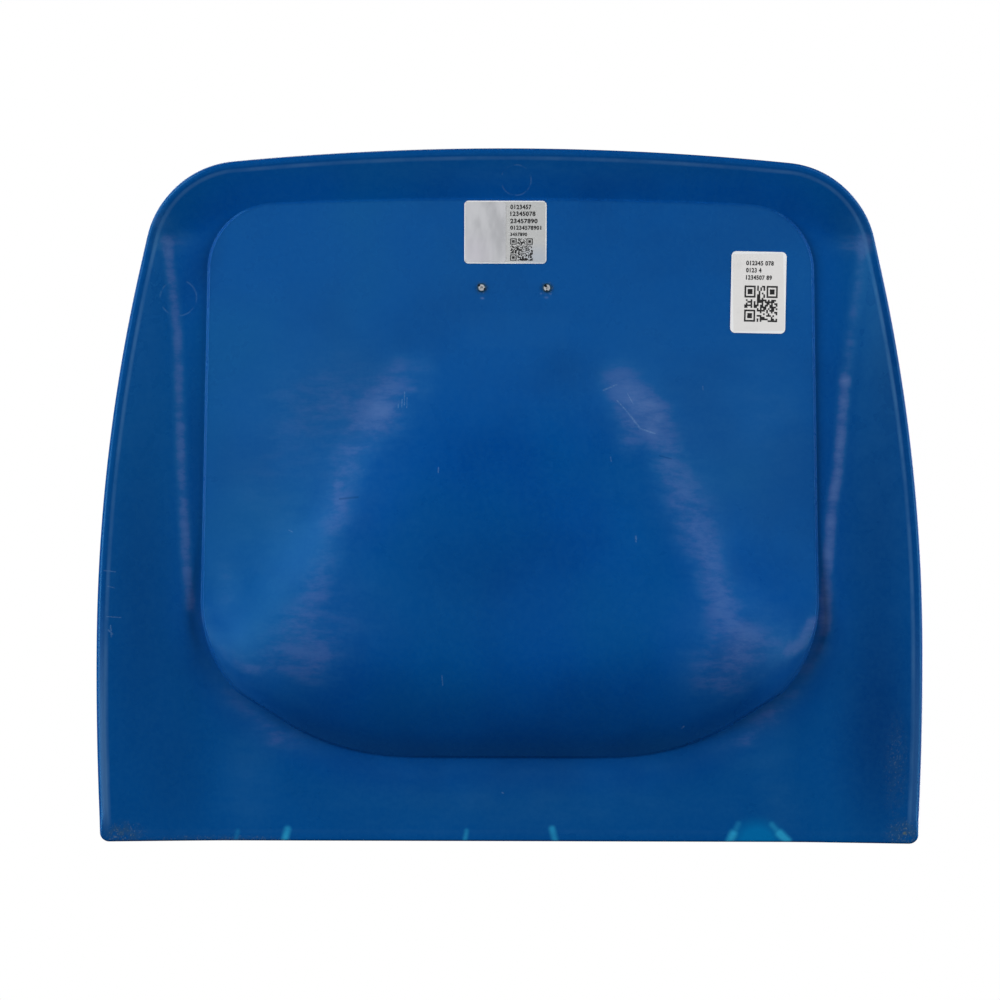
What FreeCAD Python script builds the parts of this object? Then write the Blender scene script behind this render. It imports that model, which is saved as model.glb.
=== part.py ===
import FreeCAD, Part
import math
import os
import Sketcher
from FreeCAD import Placement, Rotation, Vector

# The back shell of a stadium seat, seen from the front along +Y.
# X is the width, Z the height, and the front looks towards -Y.
# The origin is the centre of the four side nuts, on the plane the brackets bolt against.
doc = FreeCAD.newDocument("stadium_seat_back")

sizes = {
    # outline of the shell
    "shell_width": 440.0,
    "shell_height": 370.0,
    "foot_narrowing": 2.2,
    "widest_height": 99.0,
    "side_radius": 980.0,
    "crown_radius": 1500.0,
    "corner_radius": 52.0,
    "foot_corner_radius": 5.0,
    "shell_wall": 4.0,
    "rim_wall": 4.5,
    "rim_depth": 11.0,
    # wings and top band, folded towards the sitter
    "wing_rise": 19.0,
    "top_rise": 12.0,
    "fold_half_width": 157.0,
    "fold_spread": 0.085,
    "fold_softness": 0.16,
    "top_band": 30.0,
    "band_dip": 12.0,
    # raised panel
    "panel_side_margin": 55.4,
    "panel_top_margin": 26.4,
    "panel_bottom_margin": 44.6,
    "panel_taper": 3.0,
    "panel_corner_radius": 36.0,
    "panel_crown_radius": 3000.0,
    "panel_foot_step": 1.0,
    "panel_step": 1.6,
    "base_inset": 106.0,
    "haunch_inset": 47.0,
    "haunch_height": 17.6,
    "haunch_bow": 3.9,
    "kink_inset": 19.0,
    "kink_height": 35.2,
    "shoulder_height": 84.4,
    "shoulder_bow": 4.5,
    # lumbar bulge of the panel
    "bulge_rise": 24.0,
    "bulge_crest_height": 62.0,
    "bulge_apex_drop": 60.0,
    "bulge_apex_half_width": 35.0,
    "bulge_spread": 0.58,
    "bulge_softness": 0.26,
    "bulge_underside": 60.0,
    "step_underside": 16.0,
    "corner_rise": 3.5,
    "corner_rise_inset": 70.0,
    "corner_rise_run": 50.0,
    "corner_rise_height": 125.0,
    "corner_rise_fade": 65.0,
    "corner_underside": 24.0,
    "underside_power": 2.2,
    # ribs and bosses behind the shell
    "rib_thickness": 2.5,
    "rib_depth": 8.0,
    "rib_spacing": 110.0,
    "rib_half_length": 104.0,
    "boss_diameter": 16.0,
    "insert_diameter": 8.0,
    "insert_length": 10.0,
    "insert_hole_depth": 11.5,
    # brackets
    "steel": 2.5,
    "bend_radius": 1.5,
    "channel_width": 30.0,
    "channel_depth": 12.0,
    "channel_length": 197.0,
    "bracket_spacing": 268.0,
    "centre_width": 48.0,
    "centre_length": 58.0,
    "bracket_foot_height": 7.0,
    "bearing_gap": 0.3,
    "low_screw_height": 30.0,
    "high_screw_height": 185.0,
    "centre_screw_height": 22.0,
    "centre_screw_spacing": 26.0,
    "nut_height_on_shell": 100.0,
    "nut_spacing": 60.0,
    "centre_nut_height": 50.0,
    # fasteners
    "screw_diameter": 5.0,
    "screw_length": 12.0,
    "screw_across_flats": 8.0,
    "screw_head_height": 3.5,
    "thread_gap": 0.05,
    "screw_hole_clearance": 0.3,
    "insert_groove_depth": 0.5,
    "insert_groove_width": 1.5,
    "washer_diameter": 10.0,
    "washer_thickness": 1.0,
    "lock_washer_diameter": 8.8,
    "lock_washer_thickness": 1.3,
    "lock_washer_slit": 1.2,
    "nut_thread_diameter": 8.0,
    "nut_across_flats": 13.0,
    "nut_thickness": 6.5,
    "nut_hole_clearance": 0.5,
    # plate rivets left in the shell
    "rivet_pitch": 34.9,
    "rivet_offset": 1.9,
    "rivet_height": 295.8,
    "rivet_head_diameter": 5.0,
    "rivet_head_height": 0.9,
    "rivet_flat_share": 0.75,
    "rivet_edge_share": 0.4,
    "rivet_shank_diameter": 2.4,
    "rivet_gap": 0.05,
    "rivet_bore": 1.5,
    "rivet_tail_diameter": 3.6,
    "rivet_tail_length": 2.4,
    "mandrel_recess": 0.4,
    "mandrel_head_diameter": 2.2,
    "mandrel_head_length": 1.2,
    # stickers
    "film": 0.25,
    "foil": 0.1,
    "sticker_gap": 0.02,
    "certificate_width": 43.9,
    "certificate_tall": 33.5,
    "certificate_corner": 2.2,
    "certificate_offset": -2.9,
    "certificate_top_margin": 1.4,
    "foil_width": 21.5,
    "foil_border": 0.6,
    "seat_sticker_width": 29.4,
    "seat_sticker_tall": 43.6,
    "seat_sticker_corner": 2.6,
    "seat_sticker_side_margin": 17.6,
    "seat_sticker_top_margin": 28.15,
    "seat_sticker_turn": 1.0,
}

sheet = doc.addObject("Spreadsheet::Sheet", "sizes")
for row, (name, value) in enumerate(sizes.items(), start=1):
    sheet.set("A%d" % row, name)
    sheet.set("B%d" % row, str(value))
    sheet.setAlias("B%d" % row, name)
doc.recompute()


def size(name):
    return float(sheet.get(name))


wall = size("shell_wall")
half_width = size("shell_width") / 2
foot_z = -size("nut_height_on_shell")
crown_z = foot_z + size("shell_height")
widest_z = foot_z + size("widest_height")
panel_half_width = half_width - size("panel_side_margin")
panel_foot_z = foot_z + size("panel_bottom_margin")
panel_crown_z = crown_z - size("panel_top_margin")
flange_back = -(size("channel_depth") + size("bearing_gap"))
flange_front = flange_back - wall
finished = []


def finish(thing):
    finished.append(thing)
    return thing


def shape_node(label, shape):
    thing = doc.addObject("Part::Feature", label)
    thing.Label = label
    thing.Shape = shape
    thing.Placement = Placement()
    return finish(thing)


def point(x, z):
    return Vector(x, 0, z)


def mirrored(spot):
    return Vector(-spot.x, spot.y, spot.z)


# A corner circle that touches two larger circles from inside, with both touching points.
def inner_corner(centre_a, radius_a, centre_b, radius_b, corner):
    between = centre_b - centre_a
    reach_a = radius_a - corner
    reach_b = radius_b - corner
    along = (reach_a ** 2 - reach_b ** 2 + between.Length ** 2) / (2 * between.Length)
    aside = math.sqrt(reach_a ** 2 - along ** 2)
    direction = Vector(between).normalize()
    normal = Vector(-direction.z, 0, direction.x)
    middle = centre_a + direction * along
    choices = [middle + normal * aside, middle - normal * aside]
    centre = max(choices, key=lambda spot: spot.x + spot.z)
    touch_a = centre_a + Vector(centre - centre_a).normalize() * radius_a
    touch_b = centre_b + Vector(centre - centre_b).normalize() * radius_b
    bow = centre + ((touch_a + touch_b) * 0.5 - centre).normalize() * corner
    return touch_a, bow, touch_b


def arc(start, through, end):
    return Part.Arc(start, through, end).toShape()


def line(start, end):
    return Part.LineSegment(start, end).toShape()


# One closed outline from the edges of its right half and a mirrored copy of them.
def symmetric_wire(half_edges, closing_edges):
    plane_normal = Vector(1, 0, 0)
    other_half = [edge.mirror(Vector(0, 0, 0), plane_normal) for edge in half_edges]
    edges = Part.__sortEdges__(half_edges + other_half + closing_edges)
    return Part.Wire(edges)


# Half-width of the shell at z: both side arcs are vertical at the widest line.
def side_half_width(z):
    radius = size("side_radius")
    rise = abs(z - widest_z)
    if z < widest_z:
        return half_width - size("foot_narrowing") * (rise / size("widest_height")) ** 2
    return half_width - radius + math.sqrt(radius ** 2 - rise ** 2)


def shell_outline():
    corner = size("foot_corner_radius")
    foot_half = half_width - size("foot_narrowing")
    slant = corner * (1 - math.sqrt(0.5))
    side_centre = point(half_width - size("side_radius"), widest_z)
    crown_centre = point(0, crown_z - size("crown_radius"))
    touch_side, bow, touch_crown = inner_corner(
        side_centre, size("side_radius"), crown_centre, size("crown_radius"), size("corner_radius"))
    low = point(foot_half, foot_z + corner)
    mid_z = (low.z + widest_z) / 2
    upper_z = (touch_side.z + widest_z) / 2
    half = [
        arc(point(foot_half - corner, foot_z), point(foot_half - slant, foot_z + slant), low),
        arc(low, point(side_half_width(mid_z), mid_z), point(half_width, widest_z)),
        arc(point(half_width, widest_z), point(side_half_width(upper_z), upper_z), touch_side),
        arc(touch_side, bow, touch_crown),
    ]
    closing = [
        arc(touch_crown, point(0, crown_z), mirrored(touch_crown)),
        line(point(corner - foot_half, foot_z), point(foot_half - corner, foot_z)),
    ]
    return symmetric_wire(half, closing)


def panel_outline():
    radius = size("panel_corner_radius")
    crown = size("panel_crown_radius")
    top_half = panel_half_width - size("panel_taper")
    base = point(panel_half_width - size("base_inset"), panel_foot_z)
    haunch = point(panel_half_width - size("haunch_inset"), panel_foot_z + size("haunch_height"))
    kink = point(panel_half_width - size("kink_inset"), panel_foot_z + size("kink_height"))
    shoulder = point(panel_half_width, panel_foot_z + size("shoulder_height"))
    haunch_bow = (base + haunch) * 0.5 + Vector(0, 0, -size("haunch_bow"))
    shoulder_middle = (kink + shoulder) * 0.5
    shoulder_bow = shoulder_middle + Vector(size("shoulder_bow"), 0, -size("shoulder_bow") / 2)
    crown_centre = point(0, panel_crown_z - crown)
    corner_centre = point(top_half - radius, 0)
    corner_centre.z = crown_centre.z + math.sqrt((crown - radius) ** 2 - corner_centre.x ** 2)
    touch_side = corner_centre + Vector(radius, 0, 0)
    touch_crown = crown_centre + Vector(corner_centre - crown_centre).normalize() * crown
    bow = corner_centre + ((touch_side + touch_crown) * 0.5 - corner_centre).normalize() * radius
    half = [
        arc(base, haunch_bow, haunch),
        line(haunch, kink),
        arc(kink, shoulder_bow, shoulder),
        line(shoulder, touch_side),
        arc(touch_side, bow, touch_crown),
    ]
    closing = [
        line(mirrored(base), base),
        arc(touch_crown, point(0, panel_crown_z), mirrored(touch_crown)),
    ]
    return symmetric_wire(half, closing)


# A straight line bent smoothly at zero: flat below it, rising as t above it.
def soft_hinge(t, softness):
    return (math.sqrt(t * t + softness * softness) + t) / 2


def smooth_step(t):
    t = min(max(t, 0.0), 1.0)
    return t * t * (3 - 2 * t)


# A rounded rise from 0 at t = 0 to 1 at t = 1, steepest at its foot.
def underside(t):
    left = 1 - min(t, 1.0)
    return 1 - math.copysign(abs(left) ** size("underside_power"), left)


# Front of the flange, wings and top band: how far it stands in front of y = 0.
def flange_depth(x, z):
    fold_x = size("fold_half_width") + size("fold_spread") * (z - foot_z)
    wing_width = half_width - fold_x
    across = soft_hinge((abs(x) - fold_x) / wing_width, size("fold_softness"))
    band_z = crown_z - size("top_band") - size("band_dip") * (abs(x) / panel_half_width) ** 4
    upwards = soft_hinge((z - band_z) / size("top_band"), size("fold_softness"))
    return -flange_front + size("wing_rise") * across + size("top_rise") * upwards


# Height of the panel's lower edge at x, as one smooth line near the real outline.
def panel_lower_edge(x):
    kink_x = panel_half_width - size("kink_inset")
    return panel_foot_z + size("kink_height") * (abs(x) / kink_x) ** 4


# Front of the raised panel with its lumbar bulge.
def panel_depth(x, z):
    apex_z = panel_crown_z - size("bulge_apex_drop")
    crest_z = panel_foot_z + size("bulge_crest_height")
    above_edge = z - panel_lower_edge(x)
    along = smooth_step((apex_z - z) / (apex_z - crest_z))
    flank_x = size("bulge_apex_half_width") + size("bulge_spread") * max(apex_z - z, 0.0)
    across = 1 / (1 + math.exp((abs(x) / flank_x - 1) / size("bulge_softness") * 2))
    bulge = size("bulge_rise") * along * across * underside(above_edge / size("bulge_underside"))
    step = size("panel_step") * underside(above_edge / size("step_underside"))
    aside = smooth_step((abs(x) - panel_half_width + size("corner_rise_inset")) / size("corner_rise_run"))
    below = smooth_step((panel_foot_z + size("corner_rise_height") - z) / size("corner_rise_fade"))
    corner = size("corner_rise") * aside * below * underside(above_edge / size("corner_underside"))
    return -flange_front + size("panel_foot_step") + step + corner + bulge


# A smooth surface through a grid of points of one depth formula.
def depth_face(depth, half_span, low_z, high_z):
    columns = 2 * math.ceil(half_span / spacing)
    rows = math.ceil((high_z - low_z) / spacing)
    grid = []
    for i in range(columns + 1):
        x = half_span * (2 * i / columns - 1)
        column = []
        for j in range(rows + 1):
            z = low_z + (high_z - low_z) * j / rows
            column.append(Vector(x, -depth(x, z), z))
        grid.append(column)
    surface = Part.BSplineSurface()
    surface.interpolate(grid)
    return surface.toShape()


# The solid between two copies of a face, both moved along Y.
def layer(face, front_shift, back_shift):
    moved = face.translated(Vector(0, front_shift, 0))
    return upright(moved.extrude(Vector(0, back_shift - front_shift, 0)))


def upright(solid):
    if solid.Volume < 0:
        solid.reverse()
    return solid


def prism(wire, front_y, back_y):
    face = Part.Face(wire).translated(Vector(0, front_y, 0))
    return upright(face.extrude(Vector(0, back_y - front_y, 0)))


def inset(wire, distance):
    return Part.Face(wire).makeOffset2D(-distance).OuterWire


# The faces reach past their outlines by a margin, and the cutting solids past the whole shell.
margin = 12.0
spacing = 8.0
close = 0.001
front_reach = flange_front - 3 * (size("bulge_rise") + size("wing_rise") + size("top_rise"))
rear_reach = 2 * size("channel_depth")
behind = rear_reach - front_reach
flange_face = depth_face(flange_depth, half_width + margin, foot_z - margin, crown_z + margin)
panel_face = depth_face(
    panel_depth, panel_half_width + margin, panel_foot_z - margin, panel_crown_z + margin)
shell_wire = shell_outline()
panel_wire = panel_outline()


def full_prism(wire):
    return prism(wire, front_reach, rear_reach)


def rod_along_y(x, z, diameter, front_y, back_y):
    return Part.makeCylinder(diameter / 2, back_y - front_y, Vector(x, front_y, z), Vector(0, 1, 0))


bracket_x = size("bracket_spacing") / 2
low_screw_z = foot_z + size("low_screw_height")
high_screw_z = foot_z + size("high_screw_height")
centre_screw_z = foot_z + size("centre_screw_height")
centre_screw_x = size("centre_screw_spacing") / 2
screw_places = [
    (-bracket_x, low_screw_z),
    (-bracket_x, high_screw_z),
    (bracket_x, low_screw_z),
    (bracket_x, high_screw_z),
    (-centre_screw_x, centre_screw_z),
    (centre_screw_x, centre_screw_z),
]
nut_places = [(x, z) for x in (-bracket_x, bracket_x)
              for z in (-size("nut_spacing") / 2, size("nut_spacing") / 2)]
nut_places.append((0.0, foot_z + size("centre_nut_height")))
rivet_places = [(size("rivet_offset") + side * size("rivet_pitch") / 2, foot_z + size("rivet_height"))
                for side in (-1, 1)]
boss_end = -size("steel")


# The moulding: one wall that follows flange, step and panel, with rim, ribs and bosses.
def back_shell():
    outer = full_prism(shell_wire).common(layer(flange_face, 0, behind))
    panel = full_prism(panel_wire).common(layer(panel_face, 0, behind))
    block = outer.fuse(panel)
    hollow_outer = full_prism(shell_wire).common(layer(flange_face, wall, behind))
    hollow_panel = full_prism(inset(panel_wire, wall)).common(layer(panel_face, wall, behind))
    shell = block.cut(hollow_outer).cut(hollow_panel)
    rim_ring = full_prism(shell_wire).cut(full_prism(inset(shell_wire, size("rim_wall"))))
    rim = rim_ring.common(layer(flange_face, wall / 2, size("rim_depth")))
    parts = [rim]
    rib_layer = layer(panel_face, wall / 2, wall + size("rib_depth"))
    thickness = size("rib_thickness")
    rib_height = 2 * size("rib_half_length")
    mid_z = (panel_foot_z + panel_crown_z) / 2
    for side in (-1, 1):
        x = side * size("rib_spacing") / 2
        upright_rib = Part.makeBox(thickness, behind - front_reach, rib_height,
                                   Vector(x - thickness / 2, front_reach, mid_z - rib_height / 2))
        level_rib = Part.makeBox(rib_height, behind - front_reach, thickness,
                                 Vector(-rib_height / 2, front_reach, mid_z + x - thickness / 2))
        parts.append(upright_rib.common(rib_layer))
        parts.append(level_rib.common(rib_layer))
    for x, z in screw_places:
        face = panel_face if z > panel_lower_edge(x) else flange_face
        post = rod_along_y(x, z, size("boss_diameter"), front_reach, boss_end)
        parts.append(post.common(layer(face, wall / 2, behind)))
    shell = shell.fuse(parts)
    hole_front = boss_end - size("insert_hole_depth")
    cuts = [rod_along_y(x, z, size("insert_diameter"), hole_front, boss_end) for x, z in screw_places]
    rivet_hole = size("rivet_shank_diameter") + 2 * size("rivet_gap")
    cuts += [rod_along_y(x, z, rivet_hole, front_reach, 0) for x, z in rivet_places]
    return shell.cut(cuts).removeSplitter()


shape_node("back_shell", back_shell())


# The outline of a sticker, turned in the plane of the panel.
def rounded_wire(centre_x, centre_z, width, tall, corner, turn):
    box = Part.makeBox(width, 1, tall, Vector(-width / 2, 0, -tall / 2))
    along_y = [edge for edge in box.Edges if edge.BoundBox.YLength > edge.Length / 2]
    rounded = box.makeFillet(corner, along_y)
    rounded.Placement = Placement(point(centre_x, centre_z), Rotation(Vector(0, 1, 0), turn))
    front = min(rounded.Faces, key=lambda face: face.CenterOfMass.y)
    return front.OuterWire


def sticker(wire, near, far):
    return full_prism(wire).common(layer(panel_face, -far, -near))


certificate_z = panel_crown_z - size("certificate_top_margin") - size("certificate_tall") / 2
certificate_wire = rounded_wire(
    size("certificate_offset"), certificate_z, size("certificate_width"), size("certificate_tall"),
    size("certificate_corner"), 0)
film_near = size("sticker_gap")
film_far = film_near + size("film")
shape_node("certificate_label", sticker(certificate_wire, film_near, film_far))

foil_left = size("certificate_offset") - size("certificate_width") / 2 + size("foil_border")
foil_x = foil_left + size("foil_width") / 2
foil_wire = rounded_wire(
    foil_x, certificate_z, size("foil_width"), size("certificate_tall") - 2 * size("foil_border"),
    size("certificate_corner") - size("foil_border"), 0)
shape_node("foil_patch", sticker(foil_wire, film_far, film_far + size("foil")))

seat_sticker_x = panel_half_width - size("seat_sticker_side_margin") - size("seat_sticker_width") / 2
seat_sticker_z = panel_crown_z - size("seat_sticker_top_margin") - size("seat_sticker_tall") / 2
seat_wire = rounded_wire(
    seat_sticker_x, seat_sticker_z, size("seat_sticker_width"), size("seat_sticker_tall"),
    size("seat_sticker_corner"), size("seat_sticker_turn"))
shape_node("seat_number_label", sticker(seat_wire, film_near, film_far))


def new_body(label):
    body = doc.addObject("PartDesign::Body", label)
    body.Label = label
    return body


def origin_plane(body, role):
    return next(plane for plane in body.Origin.OriginFeatures if plane.Role == role)


def new_sketch(body, role, name):
    sketch = body.newObject("Sketcher::SketchObject", name)
    sketch.AttachmentSupport = [(origin_plane(body, role), "")]
    sketch.MapMode = "FlatFace"
    return sketch


# Ties one point of a sketch to the sketch's origin by two expressions.
def pin_point(sketch, geometry, end, across, upwards):
    for kind, expression in (("DistanceX", across), ("DistanceY", upwards)):
        index = sketch.addConstraint(Sketcher.Constraint(kind, -1, 1, geometry, end, 1.0))
        sketch.setExpression("Constraints[%d]" % index, expression)


# A closed outline of straight lines, each corner given by two expressions.
def polygon_sketch(body, role, name, corners):
    sketch = new_sketch(body, role, name)
    count = len(corners)
    for i in range(count):
        start = Vector(*sheet_point(corners[i]), 0)
        end = Vector(*sheet_point(corners[(i + 1) % count]), 0)
        sketch.addGeometry(Part.LineSegment(start, end), False)
    for i in range(count):
        sketch.addConstraint(Sketcher.Constraint("Coincident", i, 2, (i + 1) % count, 1))
        pin_point(sketch, i, 1, *corners[i])
    return sketch


# The present values of two expressions.
def sheet_point(corner):
    return [float(sheet.evalExpression(expression)) for expression in corner]


def pad(body, sketch, length):
    feature = body.newObject("PartDesign::Pad", sketch.Name + "_pad")
    feature.Profile = sketch
    feature.setExpression("Length", length)
    return feature


# Cuts through the body from the sketch's plane, both ways, and fails when nothing was cut.
def pocket(body, sketch, length):
    before = body.Shape.Volume
    feature = body.newObject("PartDesign::Pocket", sketch.Name + "_pocket")
    feature.Profile = sketch
    feature.Midplane = True
    feature.setExpression("Length", length)
    doc.recompute()
    assert body.Shape.Volume < before, sketch.Label
    return feature


# The upright edges of a body along one pair of lines: both signs of x, one y.
def upright_edges(shape, x, y):
    names = []
    for number, edge in enumerate(shape.Edges, start=1):
        box = edge.BoundBox
        across = math.hypot(abs(box.Center.x) - x, box.Center.y - y)
        if box.XLength < close and box.YLength < close and across < close:
            names.append("Edge%d" % number)
    return names


# Rounds both bends of a channel, inside and outside, as folded sheet is.
def bend_fillets(body, width):
    for name, x, y, radius in (
            ("inner_bend", size(width) / 2 - size("steel"), -size("steel"), "sizes.bend_radius"),
            ("outer_bend", size(width) / 2, 0.0, "sizes.bend_radius + sizes.steel")):
        bent = body.Tip
        edges = upright_edges(bent.Shape, x, y)
        assert len(edges) == 2, name
        feature = body.newObject("PartDesign::Fillet", body.Label + "_" + name)
        feature.Base = (bent, edges)
        feature.setExpression("Radius", radius)
        doc.recompute()


# A turned piece: the profile gives radius and place along Y.
def turned_body(label, corners):
    body = new_body(label)
    sketch = polygon_sketch(body, "XY_Plane", label + "_profile", corners)
    feature = body.newObject("PartDesign::Revolution", label + "_turn")
    feature.Profile = sketch
    feature.ReferenceAxis = (sketch, ["V_Axis"])
    feature.Angle = 360
    doc.recompute()
    return body


def hole_sketch(body, name, holes):
    sketch = new_sketch(body, "XZ_Plane", name)
    for i, (across, upwards, diameter) in enumerate(holes):
        x, z = sheet_point((across, upwards))
        radius = sheet_point((diameter, diameter))[0] / 2
        sketch.addGeometry(Part.Circle(Vector(x, z, 0), Vector(0, 0, 1), radius), False)
        pin_point(sketch, i, 3, across, upwards)
        index = sketch.addConstraint(Sketcher.Constraint("Diameter", i, 2 * radius))
        sketch.setExpression("Constraints[%d]" % index, diameter)
    return sketch


# A folded steel channel, open towards the shell, with its web on the plane y = 0.
def channel_bracket(label, width, length, place_x, holes):
    body = new_body(label)
    half = "sizes.%s / 2" % width
    outer = [("-" + half, "-sizes.channel_depth"), (half, "-sizes.channel_depth"),
             (half, "0"), ("-" + half, "0")]
    inner_half = "(sizes.%s / 2 - sizes.steel)" % width
    open_front = "-sizes.channel_depth - sizes.steel"
    inner = [("-" + inner_half, open_front), (inner_half, open_front),
             (inner_half, "-sizes.steel"), ("-" + inner_half, "-sizes.steel")]
    pad(body, polygon_sketch(body, "XY_Plane", label + "_outer", outer), "sizes." + length)
    doc.recompute()
    pocket(body, polygon_sketch(body, "XY_Plane", label + "_inner", inner), "2.5 * sizes." + length)
    bend_fillets(body, width)
    pocket(body, hole_sketch(body, label + "_holes", holes), "4 * sizes.channel_depth")
    body.setExpression("Placement.Base.x", place_x)
    body.setExpression("Placement.Base.z", "sizes.bracket_foot_height - sizes.nut_height_on_shell")
    return finish(body)


def above_foot(height):
    return "%s - sizes.bracket_foot_height" % height


screw_hole = "sizes.screw_diameter + 2 * sizes.screw_hole_clearance"
nut_hole = "sizes.nut_thread_diameter + 2 * sizes.nut_hole_clearance"
side_holes = [
    ("0", above_foot("sizes.low_screw_height"), screw_hole),
    ("0", above_foot("sizes.high_screw_height"), screw_hole),
    ("0", above_foot("sizes.nut_height_on_shell - sizes.nut_spacing / 2"), nut_hole),
    ("0", above_foot("sizes.nut_height_on_shell + sizes.nut_spacing / 2"), nut_hole),
]
centre_holes = [
    ("-sizes.centre_screw_spacing / 2", above_foot("sizes.centre_screw_height"), screw_hole),
    ("sizes.centre_screw_spacing / 2", above_foot("sizes.centre_screw_height"), screw_hole),
    ("0", above_foot("sizes.centre_nut_height"), nut_hole),
]
channel_bracket("left_bracket", "channel_width", "channel_length", "-sizes.bracket_spacing / 2", side_holes)
channel_bracket("right_bracket", "channel_width", "channel_length", "sizes.bracket_spacing / 2", side_holes)
channel_bracket("centre_bracket", "centre_width", "centre_length", "0", centre_holes)


# A round bar or a hexagonal one along Y, from y to y + length.
def bar_along_y(kind, name, length, start_y, **more):
    bar = doc.addObject(kind, name)
    bar.setExpression("Height", length)
    for prop, expression in more.items():
        bar.setExpression(prop, expression)
    bar.Placement = Placement(Vector(0, 0, 0), Rotation(Vector(1, 0, 0), -90))
    bar.setExpression("Placement.Base.y", start_y)
    return bar


def round_bar(name, diameter, length, start_y):
    return bar_along_y("Part::Cylinder", name, length, start_y, Radius="(%s) / 2" % diameter)


def hexagon_bar(name, across_flats, length, start_y):
    return bar_along_y("Part::Prism", name, length, start_y, Circumradius="%s / sqrt(3)" % across_flats)


def boolean(kind, name, base, tool):
    result = doc.addObject(kind, name)
    result.Base = base
    result.Tool = tool
    return result


# One node of separate copies of a fastener, moved from the origin to each place.
def copies_of(label, fastener, places, y_of=lambda x, z: 0.0):
    doc.recompute()
    copies = [fastener.Shape.translated(Vector(x, y_of(x, z), z)) for x, z in places]
    return shape_node(label, Part.makeCompound(copies))


def threaded_insert():
    outer = "sizes.insert_diameter / 2 - sizes.thread_gap"
    groove = "sizes.insert_diameter / 2 - sizes.thread_gap - sizes.insert_groove_depth"
    bore = "sizes.screw_diameter / 2 + sizes.thread_gap"
    front = "-sizes.steel - sizes.insert_length"
    groove_low = "-sizes.steel - sizes.insert_length / 2 - sizes.insert_groove_width / 2"
    groove_high = "-sizes.steel - sizes.insert_length / 2 + sizes.insert_groove_width / 2"
    return turned_body("one_insert", [
        (bore, front), (outer, front), (outer, groove_low), (groove, groove_low),
        (groove, groove_high), (outer, groove_high), (outer, "-sizes.steel"), (bore, "-sizes.steel")])


def bracket_screw():
    under_head = "sizes.washer_thickness + sizes.lock_washer_thickness"
    shank = round_bar("screw_shank", "sizes.screw_diameter", "sizes.screw_length",
                      under_head + " - sizes.screw_length")
    head = hexagon_bar("screw_head", "sizes.screw_across_flats", "sizes.screw_head_height", under_head)
    return boolean("Part::Fuse", "one_screw", head, shank)


def washer_ring(name, diameter, thickness, start_y):
    disc = round_bar(name + "_disc", diameter, thickness, start_y)
    hole = round_bar(name + "_hole", screw_hole, thickness, start_y)
    return boolean("Part::Cut", name, disc, hole)


def lock_washer():
    ring = washer_ring("lock_ring", "sizes.lock_washer_diameter", "sizes.lock_washer_thickness",
                       "sizes.washer_thickness")
    slit = doc.addObject("Part::Box", "lock_slit")
    slit.setExpression("Length", "sizes.lock_washer_slit")
    slit.setExpression("Width", "sizes.lock_washer_thickness")
    slit.setExpression("Height", "sizes.lock_washer_diameter")
    slit.setExpression("Placement.Base.x", "-sizes.lock_washer_slit / 2")
    slit.setExpression("Placement.Base.y", "sizes.washer_thickness")
    return boolean("Part::Cut", "one_lock_washer", ring, slit)


def weld_nut():
    start = "-sizes.steel - sizes.nut_thickness"
    blank = hexagon_bar("nut_blank", "sizes.nut_across_flats", "sizes.nut_thickness", start)
    thread = round_bar("nut_thread", "sizes.nut_thread_diameter", "sizes.nut_thickness", start)
    return boolean("Part::Cut", "one_nut", blank, thread)


# Blind rivet, with the seat of its head at y = 0 and its tail behind the shell's wall.
def plate_rivet():
    bore = "sizes.rivet_bore / 2"
    shank = "sizes.rivet_shank_diameter / 2"
    head = "sizes.rivet_head_diameter / 2"
    tail = "sizes.rivet_tail_diameter / 2"
    crown = "-sizes.rivet_head_height"
    flat = head + " * sizes.rivet_flat_share"
    edge = crown + " * sizes.rivet_edge_share"
    tail_start = "sizes.shell_wall + 2 * sizes.rivet_gap"
    tail_bend = "sizes.shell_wall + sizes.rivet_tail_length / 4"
    tail_full = "sizes.shell_wall + sizes.rivet_tail_length * 3 / 4"
    tail_end = "sizes.shell_wall + sizes.rivet_tail_length"
    return turned_body("one_rivet", [
        (bore, crown), (flat, crown), (head, edge), (head, "0"), (shank, "0"),
        (shank, tail_start), (tail, tail_bend), (tail, tail_full), (shank, tail_end), (bore, tail_end)])


def rivet_mandrel():
    stem = "sizes.rivet_bore / 2 - sizes.rivet_gap"
    ball = "sizes.mandrel_head_diameter / 2"
    tip = "sizes.mandrel_recess - sizes.rivet_head_height"
    seat = "sizes.shell_wall + sizes.rivet_tail_length + sizes.rivet_gap"
    far = seat + " + sizes.mandrel_head_length"
    return turned_body("one_mandrel", [
        ("0", tip), (stem, tip), (stem, seat), (ball, seat), (ball, far), ("0", far)])


def rivet_seat(x, z):
    return -panel_depth(x, z) - size("rivet_gap")


copies_of("threaded_inserts", threaded_insert(), screw_places)
copies_of("bracket_screws", bracket_screw(), screw_places)
copies_of("flat_washers", washer_ring("one_washer", "sizes.washer_diameter", "sizes.washer_thickness", "0"),
          screw_places)
copies_of("lock_washers", lock_washer(), screw_places)
copies_of("weld_nuts", weld_nut(), nut_places)
copies_of("plate_rivets", plate_rivet(), rivet_places, rivet_seat)
copies_of("rivet_mandrels", rivet_mandrel(), rivet_places, rivet_seat)


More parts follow.
